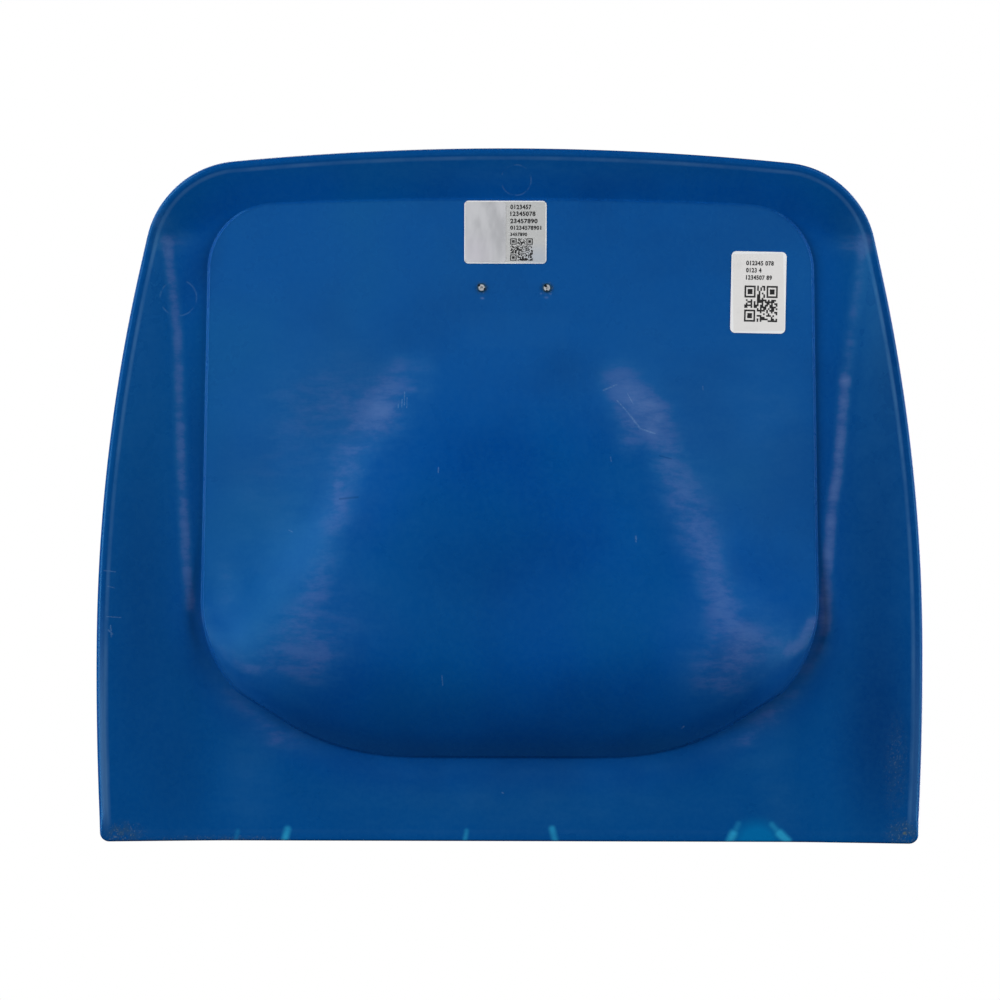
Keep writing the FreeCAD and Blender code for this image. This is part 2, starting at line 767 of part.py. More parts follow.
def check_and_write():
    doc.recompute()
    for thing in doc.Objects:
        assert not {"Invalid", "Error"} & set(thing.State), thing.Label
    os.makedirs("parts", exist_ok=True)
    for thing in finished:
        assert not thing.Shape.isNull() and thing.Shape.isValid(), thing.Label
        thing.Shape.exportStep("parts/%s.step" % thing.Label)
        box = thing.Shape.BoundBox
        print(thing.Label, len(thing.Shape.Solids), round(thing.Shape.Volume, 1),
              [round(v, 1) for v in (box.XMin, box.XMax, box.YMin, box.YMax, box.ZMin, box.ZMax)])


check_and_write()
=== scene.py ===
import math
import bpy
import numpy as np
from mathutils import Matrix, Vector


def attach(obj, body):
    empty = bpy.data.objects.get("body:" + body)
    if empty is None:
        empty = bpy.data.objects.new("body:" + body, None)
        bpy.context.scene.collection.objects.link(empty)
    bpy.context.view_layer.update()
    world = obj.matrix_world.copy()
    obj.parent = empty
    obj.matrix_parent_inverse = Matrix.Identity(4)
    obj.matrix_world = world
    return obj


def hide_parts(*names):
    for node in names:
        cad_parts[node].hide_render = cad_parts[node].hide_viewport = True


# The back shell of a stadium seat, with its stickers, old rivets and rear brackets.
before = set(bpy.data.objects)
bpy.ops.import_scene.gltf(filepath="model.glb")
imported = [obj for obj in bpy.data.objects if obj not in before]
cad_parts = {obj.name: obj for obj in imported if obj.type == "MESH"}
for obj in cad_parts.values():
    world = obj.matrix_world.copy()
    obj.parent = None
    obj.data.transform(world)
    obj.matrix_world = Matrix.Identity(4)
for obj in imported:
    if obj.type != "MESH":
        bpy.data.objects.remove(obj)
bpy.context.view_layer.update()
mm = 0.001
print("frame loaded:", len(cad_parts), "nodes")

# The shell: its outline, folds and panel, in millimetres, x to the right and z up.
shell = {
    "halfWidth": 220.0, "footZ": -100.0, "crownZ": 270.0, "widestZ": -1.0, "footNarrowing": 2.2,
    "sideRadius": 980.0, "crownRadius": 1500.0, "cornerRadius": 52.0, "footCornerRadius": 5.0,
    "flangeFront": 16.3, "wall": 4.0, "rimWall": 4.5, "rimDepth": 11.0,
    "rimRound": 4.4, "footRound": 1.2, "rimFootRound": 0.8, "rimZone": 9.0, "rearFillet": 1.5,
    "wingRise": 19.0, "topRise": 12.0, "foldHalfWidth": 157.0, "foldSpread": 0.085,
    "foldSoftness": 0.16, "topBand": 30.0, "bandDip": 12.0,
    "footBlendStart": 2.0, "footBlend": 14.0,
    "centreZ": 90.0, "around": 440, "bendWeight": 14.0, "insideRings": 56, "wingRings": 36,
    "towardsRim": (0.3, 0.6, 0.85), "rimRings": 9, "rimFootRings": 4, "filletRings": 5,
    "rearInsideRings": 26, "rearWingRings": 16,
}
panel = {
    "halfWidth": 164.6, "footZ": -55.4, "crownZ": 243.6, "taper": 3.0, "cornerRadius": 36.0,
    "crownRadius": 3000.0, "baseInset": 106.0, "haunchInset": 47.0, "haunchHeight": 17.6,
    "haunchBow": 3.9, "kinkInset": 19.0, "kinkHeight": 35.2, "shoulderHeight": 84.4, "shoulderBow": 4.5,
    "footStep": 1.0, "step": 1.6, "stepUnderside": 16.0,
    "bulgeRise": 24.0, "crestHeight": 62.0, "apexDrop": 60.0, "apexHalfWidth": 35.0,
    "bulgeSpread": 0.58, "bulgeSoftness": 0.26, "bulgeUnderside": 60.0,
    "cornerRise": 3.5, "riseInset": 70.0, "riseRun": 50.0, "riseHeight": 125.0, "riseFade": 65.0,
    "cornerUnderside": 24.0, "undersidePower": 2.2, "arris": 1.1, "foot": 0.5, "arrisMargin": 0.3,
    "edgeInside": 7.0, "edgeOutside": 4.0, "insideEdgeRings": 6, "arrisRings": 13, "outsideEdgeRings": 4,
    "rearEdgeRings": 23,
}


def softHinge(t, softness):
    # A straight line bent smoothly at zero: flat below it, rising as t above it.
    return (np.sqrt(t * t + softness * softness) + t) / 2


def smoothStep(t):
    # 0 below t = 0, 1 above t = 1, and between them a cubic S.
    t = np.clip(t, 0, 1)
    return t * t * (3 - 2 * t)


def underside(t):
    # A rounded rise from 0 at t = 0 to 1 at t = 1, steepest at its foot.
    left = 1 - np.minimum(t, 1)
    return 1 - left * np.abs(left) ** (panel["undersidePower"] - 1)


def flangeDepth(x, z):
    # How far flange, wings and top band stand in front of y = 0: two soft hinges, added.
    foldX = shell["foldHalfWidth"] + shell["foldSpread"] * (z - shell["footZ"])
    across = softHinge((np.abs(x) - foldX) / (shell["halfWidth"] - foldX), shell["foldSoftness"])
    dip = shell["bandDip"] * (np.abs(x) / panel["halfWidth"]) ** 4
    bandZ = shell["crownZ"] - shell["topBand"] - dip
    upwards = softHinge((z - bandZ) / shell["topBand"], shell["foldSoftness"])
    return shell["flangeFront"] + shell["wingRise"] * across + shell["topRise"] * upwards


def panelLowerEdge(x):
    # The height of the panel's foot: level in the middle, rising as the fourth power of x.
    kinkX = panel["halfWidth"] - panel["kinkInset"]
    return panel["footZ"] + panel["kinkHeight"] * (np.abs(x) / kinkX) ** 4


def panelDepth(x, z):
    # How far the raised panel stands in front of y = 0: foot step, step, and a bulge that is
    # a smooth rise downwards, times a soft plateau across, times a rounded underside.
    apexZ = panel["crownZ"] - panel["apexDrop"]
    crestZ = panel["footZ"] + panel["crestHeight"]
    above = z - panelLowerEdge(x)
    along = smoothStep((apexZ - z) / (apexZ - crestZ))
    flankX = panel["apexHalfWidth"] + panel["bulgeSpread"] * np.maximum(apexZ - z, 0)
    across = 1 / (1 + np.exp((np.abs(x) / flankX - 1) / panel["bulgeSoftness"] * 2))
    bulge = panel["bulgeRise"] * along * across * underside(above / panel["bulgeUnderside"])
    step = panel["step"] * underside(above / panel["stepUnderside"])
    aside = smoothStep((np.abs(x) - panel["halfWidth"] + panel["riseInset"]) / panel["riseRun"])
    below = smoothStep((panel["footZ"] + panel["riseHeight"] - z) / panel["riseFade"])
    corner = panel["cornerRise"] * aside * below * underside(above / panel["cornerUnderside"])
    return shell["flangeFront"] + panel["footStep"] + step + corner + bulge


def arcPoints(start, through, end, count=241):
    # Points from start to end on the circle through all three, whose centre is equally far from them.
    corners = np.array([start, through, end], float)
    ahead, behind = np.roll(corners, -1, 0), np.roll(corners, 1, 0)
    gap = ahead - behind
    twice = 2 * (corners[:, 0] * gap[:, 1]).sum()
    square = (corners ** 2).sum(1)
    centre = np.array([(square * gap[:, 1]).sum(), -(square * gap[:, 0]).sum()]) / twice
    angles = np.unwrap(np.arctan2(*(corners - centre).T[::-1]))
    turn = np.linspace(angles[0], angles[2], count)
    radius = np.linalg.norm(corners[0] - centre)
    return centre + radius * np.stack([np.cos(turn), np.sin(turn)], 1)


def straightPoints(start, end, count=241):
    # Evenly spaced points on the straight line from start to end.
    t = np.linspace(0, 1, count)[:, None]
    return np.asarray(start) * (1 - t) + np.asarray(end) * t


def firstHalf(points):
    # The points up to the middle one, and with it.
    return points[:len(points) // 2 + 1]


def wholeOutline(rightHalf):
    # The right half, from the foot's middle to the crown's, and its mirror image.
    half = np.concatenate([part[:-1] for part in rightHalf] + [rightHalf[-1][-1:]])
    left = half[::-1][1:-1] * [-1, 1]
    return np.concatenate([half, left])


def roundedCorner(sideCentre, sideReach, crownCentre, crownReach, radius):
    # The circle that rounds a corner between two larger ones that curve the same way: where it
    # touches each, and the middle of its arc. Each reach is the large radius less the small one.
    between = crownCentre - sideCentre
    length = np.linalg.norm(between)
    along = (sideReach ** 2 - crownReach ** 2 + length ** 2) / (2 * length)
    aside = math.sqrt(sideReach ** 2 - along ** 2)
    unit = between / length
    normal = np.array([-unit[1], unit[0]])
    corner = max((sideCentre + unit * along + normal * side * aside for side in (-1, 1)), key=sum)
    touchSide = sideCentre + (corner - sideCentre) / sideReach * (sideReach + radius)
    touchCrown = crownCentre + (corner - crownCentre) / crownReach * (crownReach + radius)
    return touchSide, arcMiddle(corner, touchSide, touchCrown, radius), touchCrown


def arcMiddle(centre, first, last, radius):
    # The point of a circle that faces the middle of two others.
    towards = (first + last) / 2 - centre
    return centre + towards / np.linalg.norm(towards) * radius


def shellOutline():
    # Foot, foot corner, two arcs up the side that meet at its widest, top corner and crown.
    foot, widest, halfWidth = shell["footZ"], shell["widestZ"], shell["halfWidth"]
    sideRadius, crownRadius, radius = shell["sideRadius"], shell["crownRadius"], shell["cornerRadius"]
    footHalf = halfWidth - shell["footNarrowing"]
    footCorner = shell["footCornerRadius"]
    sideCentre = np.array([halfWidth - sideRadius, widest])
    crownCentre = np.array([0, shell["crownZ"] - crownRadius])
    touchSide, bow, touchCrown = roundedCorner(
        sideCentre, sideRadius - radius, crownCentre, crownRadius - radius, radius)
    low = np.array([footHalf, foot + footCorner])
    slant = footCorner * (1 - math.sqrt(0.5))
    midZ = (low[1] + widest) / 2
    midX = halfWidth - shell["footNarrowing"] * ((widest - midZ) / (widest - foot)) ** 2
    upZ = (touchSide[1] + widest) / 2
    upX = sideCentre[0] + math.sqrt(sideRadius ** 2 - (upZ - widest) ** 2)
    return wholeOutline([
        straightPoints((0, foot), (footHalf - footCorner, foot)),
        arcPoints((footHalf - footCorner, foot), (footHalf - slant, foot + slant), low),
        arcPoints(low, (midX, midZ), (halfWidth, widest)),
        arcPoints((halfWidth, widest), (upX, upZ), touchSide),
        arcPoints(touchSide, bow, touchCrown),
        firstHalf(arcPoints(touchCrown, (0, shell["crownZ"]), touchCrown * [-1, 1])),
    ])


def panelOutline():
    # Foot, bowed haunch, straight to the kink, bowed shoulder, side, top corner and crown.
    half, foot, radius = panel["halfWidth"], panel["footZ"], panel["cornerRadius"]
    base = np.array([half - panel["baseInset"], foot])
    haunch = np.array([half - panel["haunchInset"], foot + panel["haunchHeight"]])
    kink = np.array([half - panel["kinkInset"], foot + panel["kinkHeight"]])
    shoulder = np.array([half, foot + panel["shoulderHeight"]])
    haunchBow = (base + haunch) / 2 - [0, panel["haunchBow"]]
    shoulderBow = (kink + shoulder) / 2 + [panel["shoulderBow"], -panel["shoulderBow"] / 2]
    crownCentre = np.array([0, panel["crownZ"] - panel["crownRadius"]])
    cornerX = half - panel["taper"] - radius
    reach = panel["crownRadius"] - radius
    corner = np.array([cornerX, crownCentre[1] + math.sqrt(reach ** 2 - cornerX ** 2)])
    touchSide = corner + [radius, 0]
    touchCrown = crownCentre + (corner - crownCentre) / reach * panel["crownRadius"]
    return wholeOutline([
        straightPoints((0, foot), base),
        arcPoints(base, haunchBow, haunch),
        straightPoints(haunch, kink),
        arcPoints(kink, shoulderBow, shoulder),
        straightPoints(shoulder, touchSide),
        arcPoints(touchSide, arcMiddle(corner, touchSide, touchCrown, radius), touchCrown),
        firstHalf(arcPoints(touchCrown, (0, panel["crownZ"]), touchCrown * [-1, 1])),
    ])


def polarRadius(outline, angles):
    # Distance from the shell's centre to an outline along each angle, with the cosine
    # between that ray and the outline's normal.
    offset = outline - [0, shell["centreZ"]]
    turn = np.arctan2(offset[:, 1], offset[:, 0])
    order = np.argsort(turn)
    radius = np.interp(angles, turn[order], np.linalg.norm(offset, axis=1)[order], period=2 * math.pi)
    slope = np.gradient(np.concatenate([radius[-1:], radius, radius[:1]]))[1:-1]
    step = np.gradient(np.unwrap(np.concatenate([angles[-1:], angles, angles[:1]])))[1:-1]
    return radius, 1 / np.sqrt(1 + (slope / step / radius) ** 2)


def ringAngles():
    # Angles of the grid's spokes, closer where the outline turns.
    outline = shellOutline()
    offset = outline - [0, shell["centreZ"]]
    ahead = np.roll(outline, -1, 0) - outline
    length = np.linalg.norm(ahead, axis=1)
    heading = np.unwrap(np.arctan2(ahead[:, 1], ahead[:, 0]))
    bend = np.abs(np.gradient(heading))
    weight = np.concatenate([[0], np.cumsum(length + shell["bendWeight"] * bend)])
    turn = np.unwrap(np.arctan2(offset[:, 1], offset[:, 0]))
    turn = np.append(turn, turn[0] + 2 * math.pi)
    return np.interp(np.linspace(0, weight[-1], shell["around"] + 1)[:-1], weight, turn)


def addPiece(name, points, faces, smooth=True):
    # A new mesh object from points in millimetres.
    mesh = bpy.data.meshes.new(name)
    mesh.from_pydata(np.asarray(points) * mm, [], faces)
    mesh.polygons.foreach_set("use_smooth", np.full(len(mesh.polygons), smooth))
    mesh.update()
    piece = bpy.data.objects.new(name, mesh)
    bpy.context.scene.collection.objects.link(piece)
    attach(piece, "root")
    return piece


def giveField(piece, name, values):
    # A number for each point of a piece, which its material can read.
    piece.data.attributes.new(name, "FLOAT", "POINT").data.foreach_set("value", values)


def closedMesh(name, rings):
    # A closed skin from rings of points: each ring joins the next, and the first and last
    # are closed with a fan to their middle.
    rings = np.asarray(rings, float)
    ringCount, around = rings.shape[:2]
    points = np.concatenate([rings.reshape(-1, 3), [rings[0].mean(0), rings[-1].mean(0)]])
    edge = np.arange(around)
    following = np.roll(edge, -1)
    row = np.arange(ringCount - 1)[:, None] * around
    quads = [row + edge, row + following, row + around + following, row + around + edge]
    quads = np.stack(quads, -1).reshape(-1, 4)
    last = (ringCount - 1) * around
    startFan = np.stack([np.full(around, ringCount * around), following, edge], -1)
    endFan = np.stack([np.full(around, ringCount * around + 1), last + edge, last + following], -1)
    corner = points[quads]
    volume = (corner[:, 0] * np.cross(corner[:, 1], corner[:, 2])).sum()
    volume += (corner[:, 0] * np.cross(corner[:, 2], corner[:, 3])).sum()
    turn = 1 if volume > 0 else -1
    faces = quads[:, ::turn].tolist() + startFan[:, ::turn].tolist() + endFan[:, ::turn].tolist()
    return addPiece(name, points, faces)


def quarterTurn(count):
    # The angles of a rounded edge's stations.
    return np.linspace(0, math.pi / 2, count)


def backShell():
    # The moulding as one closed skin on a polar grid: rings run from the middle of the front
    # out over the panel's edge and the wings, round the rim and back in along the rear.
    angles = ringAngles()
    panelR, panelCos = polarRadius(panelOutline(), angles)
    shellR, shellCos = polarRadius(shellOutline(), angles)
    ray = np.stack([np.cos(angles), np.sin(angles)], -1)
    aboveFoot = ray[:, 1] * shellR + shell["centreZ"] - shell["footZ"]
    share = smoothStep((aboveFoot - shell["footBlendStart"]) / shell["footBlend"])
    roundness = shell["footRound"] + (shell["rimRound"] - shell["footRound"]) * share
    flatPanel = shell["flangeFront"] + panel["footStep"] + panel["step"]
    rings = []
    # millimetres inwards from the shell's outline and outwards from the panel's, 1 on the front and
    # 0 on the rear, and how much of the bulge there is
    fields = {name: [] for name in ("edgeDistance", "panelDistance", "front", "bulge")}

    def ring(radius, panelShare=0.0, back=0.0, front=1.0):
        x = ray[:, 0] * radius
        z = ray[:, 1] * radius + shell["centreZ"]
        flange, raised = flangeDepth(x, z), panelDepth(x, z)
        depth = flange + (raised - flange) * panelShare
        rings.append(np.stack([x, back - depth, z], -1))
        fields["edgeDistance"].append((shellR - radius) * shellCos)
        fields["panelDistance"].append((radius - panelR) * panelCos)
        fields["front"].append(np.full(len(x), front))
        swell = np.clip((raised - flatPanel) / panel["bulgeRise"], 0, 1)
        fields["bulge"].append(swell * panelShare)

    def rimRing(inset, back=0.0, front=1.0):
        ring(shellR - inset / shellCos, back=back, front=front)

    def stepShare(distance):
        # 1 inside the panel's edge and 0 outside, falling in a soft S.
        return 1 - smoothStep((distance + panel["arris"]) / (panel["arris"] + panel["foot"]))

    # the front, from the middle over the panel's edge to the rim
    inner, outer = panel["edgeInside"], panel["edgeOutside"]
    for t in np.linspace(0, 1, shell["insideRings"] + 1)[1:-1]:
        ring((panelR - inner / panelCos) * t, panelShare=1.0)
    margin = panel["arrisMargin"]
    arris = np.linspace(-panel["arris"] - margin, panel["foot"] + margin, panel["arrisRings"])
    inside = np.linspace(-inner, arris[0], panel["insideEdgeRings"] + 1)[:-1]
    outside = np.linspace(arris[-1], outer, panel["outsideEdgeRings"] + 1)[1:]
    for distance in np.concatenate([inside, arris, outside]):
        ring(panelR + distance / panelCos, panelShare=stepShare(distance))
    start, stop = panelR + outer / panelCos, shellR - shell["rimZone"] / shellCos
    for t in np.linspace(0, 1, shell["wingRings"] + 1)[1:]:
        ring(start + (stop - start) * t)
    for t in shell["towardsRim"]:
        rimRing(shell["rimZone"] + (roundness - shell["rimZone"]) * t)

    # round the rim, over its foot and up its inside to the rear fillet
    wall, deep, rimWall, small = shell["wall"], shell["rimDepth"], shell["rimWall"], shell["rimFootRound"]
    for turn in quarterTurn(shell["rimRings"]):
        rimRing(roundness * (1 - math.sin(turn)), roundness * (1 - math.cos(turn)))
    for turn in quarterTurn(shell["rimFootRings"]):
        rimRing(small * (1 - math.cos(turn)), deep - small + small * math.sin(turn), 0.0)
    for turn in quarterTurn(shell["rimFootRings"]):
        rimRing(rimWall - small + small * math.sin(turn), deep - small + small * math.cos(turn), 0.0)
    fillet = shell["rearFillet"]
    for turn in quarterTurn(shell["filletRings"]):
        rimRing(rimWall + fillet * (1 - math.cos(turn)), wall + fillet * (1 - math.sin(turn)), 0.0)

    # back in along the rear, a wall's thickness behind the front
    start, stop = shellR - (rimWall + fillet) / shellCos, panelR + outer / panelCos
    for t in np.linspace(0, 1, shell["rearWingRings"] + 1)[1:]:
        ring(start + (stop - start) * t, back=wall, front=0.0)
    for distance in np.linspace(outer, -inner - wall, panel["rearEdgeRings"] + 1)[1:]:
        ring(panelR + distance / panelCos, stepShare(distance + wall), wall, 0.0)
    for t in np.linspace(1, 0, shell["rearInsideRings"] + 1)[1:-1]:
        ring((panelR - (inner + wall) / panelCos) * t, 1.0, wall, 0.0)

    piece = closedMesh("moulded_shell", rings)
    for name, field in fields.items():
        values = np.asarray(field).reshape(-1)
        giveField(piece, name, np.concatenate([values, [np.mean(field[0]), np.mean(field[-1])]]))
    return piece


# Ribs and bosses behind the shell, as in the solids.
rear = {
    "ribThickness": 2.5, "ribDepth": 8.0, "ribSpacing": 110.0, "ribHalfLength": 104.0, "ribTip": 0.6,
    "ribStations": 90, "ribTipPoints": 4, "bossRoundPoints": 5, "bossAround": 48,
    "bossRadius": 8.0, "bossEnd": -2.5, "insertRadius": 4.0, "insertHole": 11.5, "bossRound": 0.5,
    "bracketX": 134.0, "lowScrewZ": -70.0, "highScrewZ": 85.0, "centreScrewX": 13.0, "centreScrewZ": -78.0,
}


def rib(name, across, upright):
    # A thin wall that follows the back of the panel: a rectangle with rounded free corners,
    # carried along a straight line, its depth taken from the panel at each station.
    midZ = (panel["footZ"] + panel["crownZ"]) / 2
    half, tip = rear["ribThickness"] / 2, rear["ribTip"]
    along = np.linspace(-rear["ribHalfLength"], rear["ribHalfLength"], rear["ribStations"])
    x = np.full_like(along, across) if upright else along
    z = midZ + along if upright else np.full_like(along, midZ + across)
    base = shell["wall"] / 2 - panelDepth(x, z)
    free = shell["wall"] + rear["ribDepth"] - panelDepth(x, z)
    turn = quarterTurn(rear["ribTipPoints"])
    shoulder = half - tip + tip * np.cos(turn)
    side = np.concatenate([[-half], -shoulder, shoulder[::-1], [half]])
    drop = tip * np.sin(turn) - tip
    lift = np.concatenate([[0], drop, drop[::-1], [0]])
    isFree = np.concatenate([[0], np.ones(2 * len(turn)), [0]])
    y = base[:, None] * (1 - isFree) + free[:, None] * isFree + lift * isFree
    shiftX = side[None] if upright else np.zeros((1, len(side)))
    shiftZ = np.zeros((1, len(side))) if upright else side[None]
    rings = np.stack([x[:, None] + shiftX, y, z[:, None] + shiftZ], -1)
    return closedMesh(name, rings)


def turnedPiece(name, profile, centreX, centreZ, around):
    # A profile of radius and y, turned about a line along y.
    profile = np.asarray(profile, float)
    turn = np.linspace(0, 2 * math.pi, around, endpoint=False)
    radius, y = profile[:, :1], profile[:, 1:]
    rings = np.stack([centreX + radius * np.cos(turn), y + 0 * turn, centreZ + radius * np.sin(turn)], -1)
    return closedMesh(name, rings)


def boss(name, x, z):
    # A round post from inside the wall to its flat end, with the hole that takes the insert.
    outer, inner, end, small = rear["bossRadius"], rear["insertRadius"], rear["bossEnd"], rear["bossRound"]
    depth = panelDepth(x, z) if z > panelLowerEdge(x) else flangeDepth(x, z)
    base = shell["wall"] / 2 - float(depth)
    turn = quarterTurn(rear["bossRoundPoints"])
    edge = np.stack([outer - small + small * np.cos(turn), end - small + small * np.sin(turn)], -1)
    profile = [(outer, base), *edge, (inner, end), (inner, end - rear["insertHole"])]
    return turnedPiece(name, profile, x, z, rear["bossAround"])


def screwPlaces():
    # x and z of the six screws: two in each side bracket and two in the centre one.
    low, high = rear["lowScrewZ"], rear["highScrewZ"]
    sides = [(side * rear["bracketX"], z) for side in (-1, 1) for z in (low, high)]
    return sides + [(side * rear["centreScrewX"], rear["centreScrewZ"]) for side in (-1, 1)]


# Where painted highlights lie on the shell's front, and where painted shade lies, in millimetres.
paintedHighlightStrokes = [  # a line of places (x, z), half width, strength
    ([(-58, 152), (-72, 130), (-88, 98), (-96, 61), (-104, 34)], 14.5, 0.95),
    ([(57, 148), (75, 129), (87, 98), (96, 66), (108, 40), (121, 6)], 16.0, 1.35),
    ([(178.6, 146), (175, 98), (171.7, 77), (169.5, 45), (168.5, 15)], 5.0, 3.0),
    ([(-184, 220), (-178, 173), (-176, 109), (-173, 50), (-171, 25)], 5.0, 2.0),
    ([(189, 222), (183, 180), (179, 148)], 6.0, 1.2),
    ([(-163, 22), (-158, 8), (-149, -2), (-138, -9)], 7.0, 0.7),
    ([(161, 18), (156, 7), (148, 0)], 5.0, 2.2),
    ([(-169, 30), (-165, 2), (-150, -24), (-126, -44)], 9.0, 0.45),
    ([(169, 35), (166, 4), (151, -22), (126, -44)], 9.0, 1.0),
    ([(-126, -44), (-90, -59), (-50, -62), (50, -62), (90, -59), (126, -44)], 9.0, 0.35),
]
paintedHighlightPatches = [  # x, z, half width, half height, turn, strength
    (-66, 134, 30, 24, 20, 0.5), (66, 138, 30, 24, -24, 0.75), (75, 128, 15, 13, 0, 1.2),
    (-95, 110, 75, 120, 12, 0.5), (-93, 136, 60, 50, 0, 0.75), (100, 120, 80, 100, -12, 0.45),
    (106, 65, 18, 50, 8, 0.8), (-135, 85, 42, 90, 0, 0.55), (140, 125, 32, 60, 0, 0.5),
    (118, -5, 40, 26, -15, 0.8), (-152, 35, 12, 30, 0, 0.9), (-112, 16, 16, 18, 0, 0.7),
    (-45, 150, 10, 22, 0, 0.8), (63, 117, 12, 16, 0, 1.1), (134, 8, 30, 12, 0, 0.6),
    (-115, -42, 30, 22, 0, 0.7), (125, -48, 24, 30, 0, 0.6), (-101, -6, 18, 20, 0, 0.5),
    (-125, -6, 52, 36, 20, 0.9), (108, -18, 36, 26, -20, 0.8), (-100, 14, 56, 42, 14, 0.85),
    (122, 12, 52, 44, -14, 0.9), (-181, 220, 20, 9, 0, 1.2), (-190, 233, 14, 22, 30, 1.2),
    (184, 219, 22, 9, 0, 1.4), (186, 230, 20, 14, -20, 0.6), (150, -84, 15, 22, 0, 0.4),
    (-140, -60, 26, 60, 0, 0.6), (142, -50, 16, 60, 0, 0.6), (0, -80, 190, 26, 0, 0.6),
    (0, 259, 200, 15, 0, 0.45),
]
shadePatches = [  # x, z, half width, half height, turn, strength
    (196, 60, 36, 190, 0, 1.6), (197, -45, 32, 90, 0, 1.6), (203, 170, 18, 80, 4, 0.9),
    (-192, 60, 32, 190, 0, 0.8), (-200, 20, 24, 120, 0, 0.6), (-178, -60, 24, 60, 0, 0.6),
    (-169, 90, 7, 120, 0, 1.1), (-166, 205, 12, 30, -30, 0.8), (188, 238, 30, 26, -40, 0.7),
    (-8, 45, 85, 55, 0, 1.0), (30, 152, 30, 24, 0, 0.8),
]


def softEllipse(x, z, centreX, centreZ, halfWidth, halfHeight, turn, strength):
    # The strength in the middle of a turned ellipse, falling smoothly to nothing at its edge.
    angle = math.radians(turn)
    across, upwards = x - centreX, z - centreZ
    along = (across * math.cos(angle) + upwards * math.sin(angle)) / halfWidth
    aside = (upwards * math.cos(angle) - across * math.sin(angle)) / halfHeight
    return strength * (1 - smoothStep(np.hypot(along, aside)))


def softBand(x, z, line, halfWidth, strength):
    # The strength along a line of places, falling smoothly to nothing at half a width from it.
    gap = np.full(len(x), np.inf)
    for (startX, startZ), (endX, endZ) in zip(line, line[1:]):
        wayX, wayZ = endX - startX, endZ - startZ
        share = np.clip(((x - startX) * wayX + (z - startZ) * wayZ) / (wayX ** 2 + wayZ ** 2), 0, 1)
        gap = np.minimum(gap, np.hypot(x - startX - share * wayX, z - startZ - share * wayZ))
    return strength * (1 - smoothStep(gap / halfWidth))


def markSurface(piece):
    # Gives each point of the shell its painted highlights and its painted shade, for the plastic's colour.
    points = np.empty(len(piece.data.vertices) * 3)
    piece.data.vertices.foreach_get("co", points)
    x, _, z = points.reshape(-1, 3).T / mm
    highlightsAndScuffs = sum(softEllipse(x, z, *spot) for spot in paintedHighlightPatches)
    highlightsAndScuffs += sum(softBand(x, z, *band) for band in paintedHighlightStrokes)
    shade = sum(softEllipse(x, z, *spot) for spot in shadePatches)
    giveField(piece, "highlightsAndScuffs", highlightsAndScuffs)
    giveField(piece, "shade", shade)


shellPieces = [backShell()]
markSurface(shellPieces[0])
for side in (-1, 1):
    for upright in (True, False):
        name = "rib_%s_%s" % ("upright" if upright else "level", "low" if side < 0 else "high")
        shellPieces.append(rib(name, side * rear["ribSpacing"] / 2, upright))
for number, (x, z) in enumerate(screwPlaces(), start=1):
    shellPieces.append(boss("boss_%d" % number, x, z))
for piece in shellPieces:
    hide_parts("back_shell")
print("shell:", len(shellPieces), "pieces,", sum(len(p.data.polygons) for p in shellPieces), "faces")


# Small tools for materials. A colour is linear red, green, blue.
def newMaterial(name):
    material = bpy.data.materials.new(name)
    material.use_nodes = True
    tree = material.node_tree
    return material, tree, tree.nodes["Principled BSDF"]


def feed(tree, socket, value):
    if isinstance(value, bpy.types.NodeSocket):
        tree.links.new(value, socket)
    elif socket.type == "RGBA":
        socket.default_value = (*value, 1)
    else:
        socket.default_value = value


def addNode(tree, kind, inputs=None, out=0, **settings):
    # Adds a node, sets its properties and inputs, and gives back one output.
    node = tree.nodes.new("ShaderNode" + kind)
    for key, value in settings.items():
        setattr(node, key, value)
    for key, value in (inputs or {}).items():
        feed(tree, node.inputs[key], value)
    return node.outputs[out]


def maths(tree, operation, *values, clamp=False):
    return addNode(tree, "Math", dict(enumerate(values)), operation=operation, use_clamp=clamp)


def ramp(tree, value, low, high, toLow=0.0, toHigh=1.0):
    # Smoothly maps low..high to toLow..toHigh.
    inputs = {"Value": value, "From Min": low, "From Max": high, "To Min": toLow, "To Max": toHigh}
    return addNode(tree, "MapRange", inputs, interpolation_type="SMOOTHSTEP")


def mixColour(tree, share, first, second):
    node = tree.nodes.new("ShaderNodeMix")
    node.data_type = "RGBA"
    feed(tree, node.inputs[0], share)
    feed(tree, node.inputs[6], first)
    feed(tree, node.inputs[7], second)
    return node.outputs[2]


def millimetres(tree):
    # The piece's own coordinates, in millimetres.
    place = addNode(tree, "TexCoord", out=3)
    return addNode(tree, "VectorMath", {0: place, "Scale": 1 / mm}, operation="SCALE")


def coordinate(tree, place, axis):
    return addNode(tree, "SeparateXYZ", {0: place}, out=axis)


seedStride = (97.0, 31.0, 53.0)  # each seed reads the noise this much further on


def noise(tree, place, size, detail=4.0, rough=0.55, stretch=(1, 1, 1), seed=0.0):
    # Noise of about the given size in millimetres, longer along the axes of a small stretch.
    scale = tuple(share / size for share in stretch)
    shift = tuple(seed * stride for stride in seedStride)
    scaled = addNode(tree, "Mapping", {"Vector": place, "Location": shift, "Scale": scale})
    return addNode(tree, "TexNoise", {"Vector": scaled, "Scale": 1.0, "Detail": detail, "Roughness": rough})


